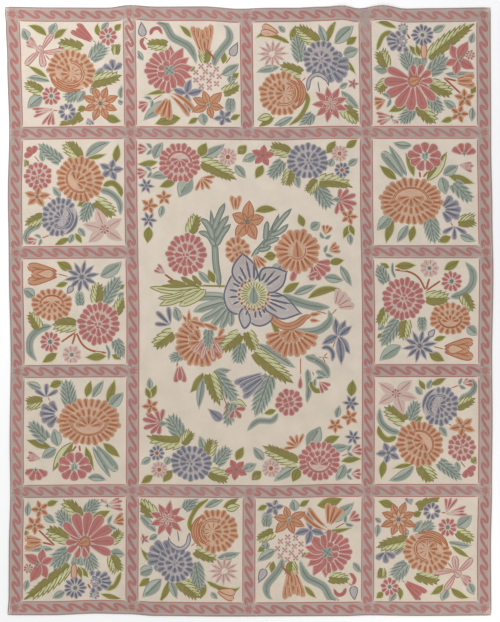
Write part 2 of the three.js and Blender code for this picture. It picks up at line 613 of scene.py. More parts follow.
def sew_stem(needle, wool, _, motif):
    """Rows side by side along a curve."""
    path = bow(motif)
    rows = max(1, round(motif.width / ROW))
    for i in range(rows):
        off = (i - (rows - 1) / 2) * ROW
        tone = SHADES[wool].edge if rows > 2 and i in (0, rows - 1) else SHADES[wool].stroke
        needle.stitch(path + 1j * ways(path) * off, tone, 0.4)


def sew_half(needle, wool, _, motif):
    """Half a round bloom, in two rings on the side that it turns to."""
    middle, along, side = oval(motif)
    sweep = motif.bend or 180
    for inner, outer in ((0.42, 1.0), (0.06, 0.5)) if sweep > 150 else ((0.2, 1.0),):
        needle.wreath(middle, along, side, inner, outer, -sweep / 2, sweep, wool)
        needle.level += TIER


def sew_vine(needle, left, right, row):
    """A long leaf along charted points: its width, then x and y of each point."""
    needle.blade(smooth(row[1:]), row[0], "strap", left, right)


def sew_thread(needle, wool, _, row):
    """One or more plain rows along charted points: their number, then the points."""
    path = smooth(row[1:])
    for i in range(row[0]):
        needle.stitch(path + 1j * ways(path) * (i - (row[0] - 1) / 2) * ROW,
                      SHADES[wool].stroke, 0.4)


def sew_patch(needle, wool, _, row):
    """A lobe with a charted outline."""
    needle.patch(row, SHADES[wool].edge, SHADES[wool].body)


KINDS = {
    "leaf": sew_leaf, "petal": sew_petal, "saw": sew_saw, "mum": sew_mum, "crown": sew_crown,
    "burst": sew_burst, "bowl": sew_bowl, "half": sew_half, "daisy": sew_daisy,
    "star": sew_star, "lily": sew_lily, "bud": sew_bud, "tulip": sew_tulip, "spray": sew_spray,
    "trefoil": sew_trefoil, "capped": sew_capped, "cluster": sew_cluster, "stem": sew_stem,
    "vine": sew_vine, "thread": sew_thread, "patch": sew_patch,
}
CHARTED = ("vine", "thread", "patch")


def embroider(chart):
    """The rows and beds of a chart, whose later entries lie over its earlier ones."""
    needle = Needle()
    for title, entries in chart:
        wools, kind = title.split()
        left, _, right = wools.partition("+")
        for entry in entries:
            needle.level = math.floor(needle.level) + 1.0
            motif = entry if kind in CHARTED else Motif(*entry)
            KINDS[kind](needle, left, right or left, motif)
    return needle


# Charts. Each row gives wools and a kind, and then every motif of it. A motif's columns are
# x, y, length, width, turn and bend. Vines, threads and patches are charted point by point.
# Turned by half a turn, the far row is the near row and the left column is the right one.

# Far row, first panel: a large orange bloom, a loose pink flower and an orange lily
PANEL_A = (
    ("rust stem", ((13.6, 14.9, 4, 0.4, 150), (-14.2, 10.8, 6.2, 0.4, 309),
                   (-7.6, -18.3, 3, 0.4, 175))),
    ("teal+mist leaf", (
        (-21.5, 16.8, 6.8, 4, 115), (-11.3, 19.9, 7, 4.2, 60, 20), (15.1, 21.6, 5.8, 3, 49, -30),
        (11.2, -1.3, 8.5, 2.8, 36, -16), (-11.3, -3.8, 12.4, 3, 171, 34),
        (-15.3, -10.9, 10, 5.4, 218, 14), (8.9, -6.7, 5.4, 2.8, 305), (24, -12.5, 6.7, 3, 84),
        (22.6, -13.2, 4, 2.2, 322))),
    ("green leaf", (
        (-12.4, 19, 11.6, 3.5, 152, 50), (-8.8, 17.4, 8.8, 3.4, 37, -44),
        (13.9, 18.7, 7.4, 3, 95, -50), (21.3, 21.6, 4.8, 3.5, 40), (-12.2, -2.1, 12.9, 2.8, 148, 12),
        (6.4, -16.4, 4.8, 3.5, 208), (16, -21, 9, 4.2, 341, 20))),
    ("lime+olive saw", ((5, 12.2, 12.8, 6, 164, 12), (22, 9.5, 5.2, 4.6, 88),
                        (8.9, -4.2, 16.5, 6.4, 12), (-15.5, -9, 9.8, 5.4, 150))),
    ("olive saw", ((4.7, -20.8, 13, 3.6, 203, -10),)),
    ("mist+teal saw", ((9.6, 6.8, 10.5, 8, 48), (4, -7.8, 9.6, 6.4, 214))),
    ("teal+mist leaf", ((6.2, -8.4, 7.4, 3.8, 236),)),
    ("berry tulip", ((10.3, 16.6, 12.2, 6, 142, 3),)),
    ("rose+mist daisy", ((18.2, 18.9, 9.4, 9.4, 10, 9), (-10.8, -10.9, 9.8, 9.8, 0, 10))),
    ("blue trefoil", ((20.6, 1.6, 5.8, 3.9, 96),)),
    ("pink petal", ((-15.4, 11.2, 12, 3.6, 4, 22), (-15.2, 11.8, 10.4, 3.4, 56, -14),
                    (-15.2, 12.2, 8.8, 4, 276, 14), (-15.2, 12, 11.4, 3.6, 222, 24))),
    ("pink bud", ((-17.6, 13.8, 5.4, 4, 318),)),
    ("rose spray", ((-16.8, 12.6, 7.4, 7, 142, 4), (-9.6, -17.4, 11.4, 7, 190, 3),
                    (-10, -18, 9.4, 11, 252, 3))),
    ("rust crown", ((-0.6, 1.4, 21.4, 24.6, 74, -85),)),
    ("flame lily", ((13.9, -14.9, 18.6, 18.6, 90, 8),)),
    ("blue+cream daisy", ((-2.8, -19, 9.2, 9.2, 0, 9),)),
    ("blue spray", ((7.4, -22, 4.8, 6, 290, 3),)),
)

# Far row, second panel: a pink bloom, a head of small flowers and an orange tulip
PANEL_B = (
    ("rust stem", ((-22.4, 18.4, 3.4, 0.4, 330), (-13.6, -10.5, 7, 0.4, 210),
                   (19, 5.7, 4.4, 0.4, 54))),
    ("green leaf", (
        (1.9, 17.8, 9.3, 2.8, 134, 20), (17.5, 5.2, 6.4, 3.3, 80), (21.8, -2.3, 5, 3, 42),
        (3.6, 3.7, 4.7, 2.8, 208), (-7, -8.2, 16, 2.5, 190, 14), (-4, -22, 14, 5.4, 194, 16),
        (4.7, -21.8, 6.3, 3, 211), (20.7, -22.6, 5.8, 3, 27))),
    ("teal+mist leaf", (
        (-22.5, 6.7, 6.7, 2.8, 126), (16.4, -0.2, 11, 4.2, 33, 20), (-9.3, -13.6, 17, 5.4, 216, 18),
        (6.7, -19.4, 6.5, 4.4, 280), (20, -4, 4.4, 2.6, 30), (20.4, -4, 4, 2.6, 80))),
    ("teal vine", ((4.2, -16, 25.5, -11.5, 24.5, -8, 18.8, -3.7, 16.2, 0.6, 13.7, 3.2, 8.9, 4.1, 5),
                   (4, 13.1, 3.7, 13.8, 8, 17.5, 13.2, 20.9, 18, 20.3, 22.7, 17.9, 24.8))),
    ("lime+olive saw", ((-10.2, 14.1, 10.8, 5, 175), (17.2, -9.2, 9.8, 4.8, 25))),
    ("lime+olive saw", ((8.4, 5.4, 7.2, 6.4, 90),)),
    ("teal saw", ((21.1, -11.8, 7.4, 5.2, 266),)),
    ("navy bud", ((-22.6, 18.4, 7.4, 4.2, 95), (21.6, 9.3, 8, 4.2, 64))),
    ("berry vine", ((1.9, -18.9, 19.2, -17.6, 22.1, -14.6, 22.6, -12.8, 19.6),
                    (1.9, -22.2, 17.9, -23.4, 15.4, -21.6, 12.6, -20.4, 12.2))),
    ("rose leaf", ((-9.6, 1.8, 13, 5, 86, 8), (-9, 1.8, 13.6, 5.4, 60), (-8.6, 1.8, 11.5, 4.6, 36),
                   (-8.4, 1.6, 11.4, 4.8, 10), (-8.4, 1.4, 11, 4.6, -16), (-9, 1, 12, 5, -44),
                   (-9.6, 0.6, 10, 4, -72))),
    ("rose half", ((-9.6, 1.4, 25, 22, 180, 190),)),
    ("teal star", ((-9.6, 1.8, 7, 7, 45, 4),)),
    ("rust tulip", ((8.4, 10.8, 14, 13, 96, 5), (8.6, 10.8, 8, 6.6, 94, 3))),
    ("rust thread", ((2, 8.6, 12.6, 11.2, 10.4, 13.2, 7.6),)),
    ("rose cluster", ((9.4, -1, 14.4, 13.6, 0),)),
    ("blue leaf", ((-1, -9.8, 8, 3.6, 72, -30), (-0.8, -9.8, 8.6, 3.4, 16, 24),
                   (-1, -9.4, 10.4, 3.6, 280, 24), (-1.2, -9.6, 7.4, 3.4, 160, -24))),
    ("rose capped", ((-18.4, -13, 7.6, 5, 212),)),
    ("rust half", ((-9.6, -10, 26, 20, 252, 64),)),
    ("rust petal", ((-9.6, -10.6, 14.8, 3.2, 312, -30), (-8.8, -9.6, 15.4, 3.2, 322, -44))),
    ("flame leaf", ((9.9, -15.5, 9.5, 4.2, 45, 10), (10.2, -15.6, 7.5, 3.4, -10),
                     (10, -16, 6.6, 3.2, 285), (9.6, -15.7, 8.9, 3.6, 202, 10),
                     (9.5, -15.3, 8.4, 3.6, 155), (9.8, -15, 7.4, 3.4, 110))),
    ("teal bud", ((9.2, -16.2, 2.6, 2, 60),)),
    ("blue star", ((17.4, -21.6, 10.8, 9.4, 40, 5),)),
)

# Far row, third panel: a blue bloom, an orange one and a pink star flower
PANEL_C = (
    ("rust stem", ((-14.1, 20.4, 6.8, 0.4, 330), (-0.3, -1.7, 4, 0.4, 222))),
    ("green vine", ((2.8, -7.9, 15.6, -13.7, 18.6, -21.5, 20.1, -25.4, 18.2),
                    (3, -1.4, -7.8, 0.6, -13.4, -3.3, -21.2, -9.6, -25.9))),
    ("green leaf", (
        (-7.6, 16.9, 8.4, 3.3, 72), (20.4, 14.3, 7.2, 3.6, 41),
        (17, 8.2, 12.5, 3, 312, -20), (-16, -21.2, 9.6, 3.4, 210))),
    ("lime leaf", ((-17.6, -20.4, 7.4, 3.6, 196),)),
    ("green leaf", ((11.2, 15.4, 12.6, 3.4, 66, -46),)),
    ("teal+mist leaf", (
        (-10.2, 21.2, 4.8, 2.6, 137), (-13.3, 3.9, 12.2, 3.4, 193, 16), (10.3, 15.1, 10.4, 3.5, 111),
        (14.4, 14.8, 13.6, 5.4, 44), (18.7, 9.5, 8.4, 5, 20), (-6.8, -21.2, 12, 3.2, 206),
        (16.6, -7.3, 5, 2.6, 32), (17.4, -8.6, 13.5, 3.6, 315, 14))),
    ("teal saw", ((-2.2, 6.1, 14.5, 7.5, 101), (3.2, -19.9, 9, 6, 230))),
    ("lime+olive saw", ((6.2, 15.3, 14.3, 7, 142), (-2.2, 0, 12.3, 5.4, 155))),
    ("olive+lime saw", ((17.8, -17.3, 11.4, 6.4, 321),)),
    ("glow tulip", ((-13.6, 20.5, 9.6, 5.6, 164, 2),)),
    ("faint star", ((-16.7, 10.6, 16, 14.6, 20, 12),)),
    ("cream bud", ((-18.2, 9.6, 3.6, 2.8, 40),)),
    ("blue half", ((10.4, 4.6, 24, 19, -20, 150),)),
    ("blue mum", ((7.6, 7.4, 18.6, 18.6, 90),)),
    ("rust crown", ((-12.2, -9.4, 23.6, 22.4, 190, 150),)),
    ("navy vine", ((2.2, 0.6, -8.6, 1.6, -2.6, 5.8, -0.2, 10.2, -3, 11, -6.4),)),
    ("ink thread", ((1, 5.8, -4, 6.6, -9.6),)),
    ("rose lily", ((11.8, -15.3, 19, 19, 0, 9),)),
    ("pink star", ((11.8, -15.3, 9, 9, 20, 5),)),
    ("rose star", ((23.4, -5.2, 6, 6, 0, 5),)),
)

# Far row, fourth panel: a large pink flower of loose petals over saw-edged leaves
PANEL_D = (
    ("rust stem", ((-8.4, 20.5, 3.2, 0.8, 300), (12.2, 4.3, 5.4, 0.4, 34), (10, -2.2, 7, 0.8, 346),
                   (10, -2.2, 11.2, 0.8, 316))),
    ("green leaf", (
        (-12.9, 22.9, 11.5, 2.8, 168, 10),
        (-8, -14.7, 11.4, 4.2, 205), (23.2, -10.2, 4.6, 3, 60), (14.7, -22.3, 7, 3.2, 198),
        (-1.9, 8.4, 8.5, 3, 132), (-1.9, 8.4, 7, 2.8, 106))),
    ("teal+mist leaf", (
        (4.6, 21.2, 7.4, 3.4, 29), (23.2, 15.1, 6, 3, 75), (-17.4, 1.9, 8, 4.6, 175),
        (10.4, -0.1, 14.5, 2.8, 3, 24), (15.8, -17.8, 7.8, 3.6, 145), (23.8, -16.9, 7.4, 3, 268),
        (-17, -13, 4.4, 2.4, 120))),
    ("green vine", ((3, -15.4, 21, -20.4, 18.4, -23.6, 11),)),
    ("lime+olive saw", ((1.9, 7.3, 30, 7.4, 38, -14), (2.6, -4.8, 13, 6.5, 334),
                        (-3, -15.6, 12.7, 7, 312))),
    ("olive+lime saw", ((-18.3, 3.2, 9, 7, 114), (-18.7, -3.1, 8, 5.2, 232))),
    ("teal saw", ((-6.4, 1.9, 9.6, 7.5, 111), (2.8, 0.1, 12.5, 8, 41), (2.8, -11.1, 10.7, 6.2, 303),
                  (-5.3, -17.8, 9.8, 6.6, 227))),
    ("teal tulip", ((-1.5, 2, 6.6, 8, 90, 4),)),
    ("blue+teal daisy", ((-10.1, 23.4, 5.4, 5.4, 0, 8), (-0.4, 19.6, 11.6, 11.6, 0, 13))),
    ("blue half", ((-9.4, 16.5, 19, 12, 184, 210),)),
    ("blue+cream daisy", ((-10, 16.5, 4.6, 4.6, 0, 8),)),
    ("glow vine", ((3.2, 0.2, 14.8, 0.2, 7),)),
    ("rose leaf", ((17, 6.6, 9, 4.4, 113), (17, 6.8, 11, 5, 62, -10), (17, 6.8, 9.4, 4.6, -30),
                   (16.8, 6.8, 8, 4, 262), (16.6, 7, 7, 3.6, 206))),
    ("rose+mist daisy", ((22.9, 9.3, 5.2, 5.2, 0, 8),)),
    ("teal star", ((18.6, 7.6, 3, 3, 0, 4),)),
    ("rose star", ((-5.4, -4.6, 18, 17, 0, 9),)),
    ("rose petal", (
        (-4.4, -1.4, 6, 4, 104), (-3, -1.6, 6.6, 4, 70), (-2.2, -2.6, 7, 4.2, 34),
        (-2, -3.8, 6.6, 4.2, 2), (-2.6, -5.4, 11.6, 5.2, -46, -10), (-4, -6, 13, 6, -72),
        (-5.4, -6.4, 12.6, 6, -98), (-6.6, -6, 13.2, 6, 236), (-7.2, -5, 13.4, 6, 208),
        (-7.4, -3.8, 13, 6, 182), (-7, -2.6, 12.6, 5, 156))),
    ("flame bud", ((-7.6, -4.6, 6.8, 5, 20),)),
    ("rust tulip", ((16.2, -3.8, 9.4, 8.4, 2, 3),)),
    ("rust star", ((20, -12.5, 10.6, 10.6, 20, 5), (17.3, -20.3, 10, 10, 0, 5))),
    ("rust capped", ((-17, -12.4, 8.6, 5, 200),)),
    ("rose spray", ((-16.6, -21.4, 8, 5, 176, 2), (-16.6, -22.6, 7.6, 4, 200, 2),
                    (-16.4, -23, 4.6, 4, 320, 2))),
    ("teal star", ((-16.4, -21.8, 2.6, 2.6, 0, 4),)),
)

# Left column, first panel: an orange bloom, a blue one below it and a small pink one
PANEL_E = (
    ("rust stem", ((-19.5, 18.4, 3.8, 0.4, 310), (-12.9, -2.2, 2.4, 0.4, 330),
                   (-16.4, -22.8, 4.8, 0.4, 20))),
    ("green vine", ((3.6, 14.8, 3, 19.4, 4.7, 23.1, 1.8, 24.4, -2.8),)),
    ("teal vine", ((3.4, 12.5, 1.4, 18.6, -0.3, 23.1, -4.9, 23.6, -11.5),
                   (3.4, -16.2, -15.7, -22.2, -18.6, -24.1, -22.3, -22.6, -26.3))),
    ("green leaf", (
        (6.9, 17.2, 10.8, 2.6, 12, 20), (21.1, 14.5, 10.3, 3.8, 81), (-22.9, 13, 4.8, 3.8, 120),
        (-16.8, -3.6, 4, 3.2, 300), (6.9, -4, 6, 3.2, 211), (-2, -22.8, 8.6, 3.2, 203),
        (0.7, -20.3, 6.5, 3, 303))),
    ("teal+mist leaf", (
        (-15.1, 15.5, 6.3, 2.8, 101), (6.3, 17.8, 15, 4.2, 30, -40), (-6.4, -2, 6.4, 3.2, 128),
        (-0.2, -20.7, 5.5, 2.8, 246), (2.3, -17.8, 5.6, 2.8, 309))),
    ("teal saw", ((-6, 15.5, 15.3, 5.6, 142), (8.6, -4.9, 11, 6, 249))),
    ("lime+olive saw", ((3.6, 16.4, 11.8, 7.4, 128), (11.1, -4, 12.7, 6.5, 322),
                        (-14.9, -11.9, 10.2, 5, 204))),
    ("berry trefoil", ((-20.4, 19.4, 4.6, 3.4, 130),)),
    ("blue star", ((19, 11.2, 13, 12, 5, 5),)),
    ("rose mum", ((-17.6, 8.4, 14.4, 14.4, 90),)),
    ("rust bowl", ((3.4, 6.6, 23, 24.4, 60, 150),)),
    ("rust star", ((-18.1, -2, 13.6, 11, 10, 5),)),
    ("blue crown", ((-6.8, -12.2, 18.6, 20.4, 160, 170),)),
    ("faint leaf", ((15.4, -18.4, 11.4, 4.6, 110), (15.4, -18.4, 10.4, 4.4, 30),
                    (15.4, -18.4, 10.6, 4.6, 327), (15.4, -18.4, 10.6, 4.6, 220),
                    (15.4, -18.4, 11, 4.4, 167))),
    ("rose+mist daisy", ((15.4, -18.6, 5, 5, 0, 7),)),
    ("rose capped", ((-16.4, -22.8, 6.6, 5, 200),)),
)

# Left column, second panel: an orange tulip and bowl, a blue star and a pink bloom
PANEL_F = (
    ("rust stem", ((-8.7, 19.1, 5.4, 0.4, 345), (0.6, -10, 9.2, 0.8, 214), (0.2, -10.8, 5.8, 0.8, 253))),
    ("rust thread", ((2, 0.6, -10.8, 3.7, -16.6, 8.3, -19.6, 15.6, -20.8),)),
    ("teal vine", ((4, -11.7, -6.9, -17.9, -8.7, -22.5, -13.3, -22.9, -19.6, -19.4, -24.8),
                   (1.6, 15.4, -16.6, 16.9, -20.4, 16.6, -24.6))),
    ("green leaf", (
        (-0.8, 20.8, 9.4, 4.6, 152), (-3.3, 14.6, 7, 3, 197), (22.3, 11.4, 3.4, 2.8, 40),
        (-8.9, -20.6, 9.5, 4, 212), (15.8, -22.5, 11.3, 4, 183), (18.3, -21.6, 5.5, 2.8, 330))),
    ("teal+mist leaf", (
        (12.7, 17.5, 13.6, 5.4, 34, 24), (-20.2, 7.5, 7, 4.6, 139), (21.4, 7.2, 4, 2.6, 35))),
    ("teal saw", ((2.5, 2.9, 7.4, 4.4, 92), (14.1, 4.2, 16.3, 7, 57), (20, -14.1, 10.2, 5.8, 296))),
    ("lime+olive saw", ((10.4, 4.2, 10.3, 6, 82), (20, -1.2, 9.3, 5, 62),
                        (0.6, -6.7, 12, 7.4, 178))),
    ("olive+lime saw", ((-17.9, -8.3, 9.7, 5.2, 121),)),
    ("flame tulip", ((-8.7, 19.1, 15.4, 11, 180, 3),)),
    ("glow bud", ((-10.4, 19.1, 9, 4.6, 180),)),
    ("blue star", ((3.6, 17.4, 18.6, 17, 26, 10),)),
    ("navy bud", ((-1, 12.7, 5.2, 3.2, 230),)),
    ("rust bowl", ((-11.7, 3.7, 16.4, 20.8, 90, 1),)),
    ("rose mum", ((11.7, -6.2, 22, 21.4, 60),)),
    ("rose+mist daisy", ((-12.6, -15, 10.8, 10.8, 0, 11),)),
    ("faint+mist daisy", ((-1.7, -21.6, 9.6, 9.6, 0, 9),)),
)

# Left column, third panel: a wide orange bloom over pink flowers
PANEL_G = (
    ("rust stem", ((-14.6, 18.6, 4.8, 0.4, 300), (0.7, -7.5, 5.6, 0.8, 232), (2.2, -7.3, 5, 0.8, 278))),
    ("green leaf", (
        (-12.8, 22.3, 7.4, 4, 23), (5.5, 16.6, 9.4, 3.8, 75), (15.7, 13.9, 13, 4, 71, 16),
        (-11.5, -8.4, 14.2, 4, 162), (5.3, -7.5, 13.5, 3.4, 290, 12), (13.9, -6, 12, 4, 320))),
    ("olive+lime leaf", ((-0.9, -5.5, 18, 4.8, 235, 14),)),
    ("teal+mist leaf", (
        (-17, 21.4, 8.4, 3.6, 157), (8.4, 16.6, 10.7, 3.6, 56), (16.8, 11.3, 11, 5, 47),
        (-8.4, -7.7, 9.4, 5, 104), (-9.3, -8.6, 9, 4.5, 213), (8.8, -7.7, 19, 3.4, 300),
        (6.4, -23.6, 9.8, 3.4, 352, -40))),
    ("teal saw", ((-2.2, 11.7, 14.5, 8, 100), (-14.1, -4.6, 13.5, 6, 134))),
    ("teal+mist petal", ((10.4, -6.8, 17.4, 5.6, 309),)),
    ("lime+olive saw", ((-16.1, 15.2, 8.6, 7, 190),)),
    ("blue trefoil", ((-14.6, 17.2, 7, 3, 88),)),
    ("blue half", ((-7.8, 8.6, 21, 15, 178, 149),)),
    ("rust bowl", ((6.9, 4.6, 24, 32, 90, 180),)),
    ("rose spray", ((-17, -13.6, 7.4, 7, 170, 4),)),
    ("rose half", ((-19.4, -18, 14, 14, 266, 149),)),
    ("teal star", ((-19.7, -19.2, 2.8, 2.8, 0, 4),)),
    ("rose+teal daisy", ((-0.2, -17.8, 15, 17.6, 90, 9),)),
    ("teal spray", ((-0.2, -15, 5.4, 4.6, 270, 2),)),
)

# The sprays of the field's far corners. Turned by half a turn, they fill the near corners.
SPRAY_LEFT = (
    ("rust stem", ((-49.3, 71.3, 3.6, 0.4, 20), (-14.6, 78, 4.6, 0.4, 190))),
    ("teal+mist leaf", (
        (-47.2, 76.7, 9.5, 4.6, 62, -30), (-38.5, 69, 11.6, 4, 188, 16), (-24, 77.1, 14.5, 4.6, 32, 20),
        (-6.7, 74, 8.5, 4, 309), (-43, 53.4, 6.5, 3, 256))),
    ("green leaf", (
        (-45.3, 75.3, 11, 3.4, 187, -16), (-36.2, 65.9, 9.6, 4, 201), (-24.7, 77.8, 8.3, 5, 64),
        (-5.5, 79.4, 6.9, 4.6, 44), (-50.3, 42.9, 9, 4.6, 264))),
    ("teal+mist leaf", ((-28.4, 67.8, 12.4, 6.8, 238, 16),)),
    ("lime+olive saw", ((-24, 75.5, 20.3, 7, 334, -10),)),
    ("rose capped", ((-48.6, 81.6, 6.6, 4, 180), (-48.8, 70.4, 6.8, 4, 190))),
    ("rose bowl", ((-34.6, 74.8, 20, 21.4, 84, 1),)),
    ("rust spray", ((-23.8, 67.6, 7.4, 50, 306, 5),)),
    ("faint+ember daisy", ((-10.3, 78, 9.4, 9.4, 0, 11),)),
    ("blue star", ((-51.4, 63.2, 8.4, 8.4, 0, 6), (-50.3, 46.1, 8.8, 8.8, 0, 6))),
    ("rust star", ((-42.5, 57.3, 8.4, 8.4, 20, 5), (-49.8, 53.2, 9.2, 9.2, 0, 5))),
)
SPRAY_RIGHT = (
    ("teal+mist leaf", (
        (4, 79.2, 8, 4, 205), (22.9, 70.1, 8.5, 3.8, 288), (40.7, 72.6, 4.7, 3.4, 70),
        (49.8, 73.2, 6.2, 3.2, 34), (50.4, 39, 6, 2.8, 274))),
    ("green leaf", (
        (7.3, 74.2, 8.2, 4.2, 241), (39.4, 79.2, 7.9, 4.4, 56), (48.8, 81.9, 7.6, 3.8, 36),
        (50.3, 43.6, 8, 3.4, 246), (50.3, 43.6, 6.4, 3, 293))),
    ("teal saw", ((17.3, 76.3, 11.2, 6.5, 232), (34.6, 62.5, 12.5, 8, 301))),
    ("lime+olive saw", ((20.8, 80.1, 10.6, 6.5, 161), (35, 65.2, 17.5, 6, 351, -36),
                        (34.6, 66.3, 8.5, 5.5, 232))),
    ("olive+lime saw", ((21.1, 72.1, 8.8, 6, 255),)),
    ("berry star", ((7.2, 78.8, 11.6, 11.6, 10, 5),)),
    ("blue mum", ((29.6, 75.8, 21.4, 18.2, 172),)),
    ("faint+ember daisy", ((45.7, 79.2, 8.6, 8.6, 0, 11),)),
    ("blue+ember daisy", ((46.9, 70.9, 8, 8, 0, 9),)),
    ("rose petal", ((45.2, 55.8, 7.4, 3, -102), (45.2, 55.8, 7.6, 3, -71), (45.4, 55.7, 8.8, 3.2, -36),
                    (45.4, 55.7, 9.2, 3.2, -12), (45.4, 55.7, 9, 3.2, 19), (45.2, 55.8, 7.4, 3, 48),
                    (45, 55.8, 6, 3, 79))),
    ("teal bud", ((46, 56, 4.6, 3, 178),)),
    ("rust star", ((50.1, 47.5, 9.2, 9.2, 0, 5),)),
)

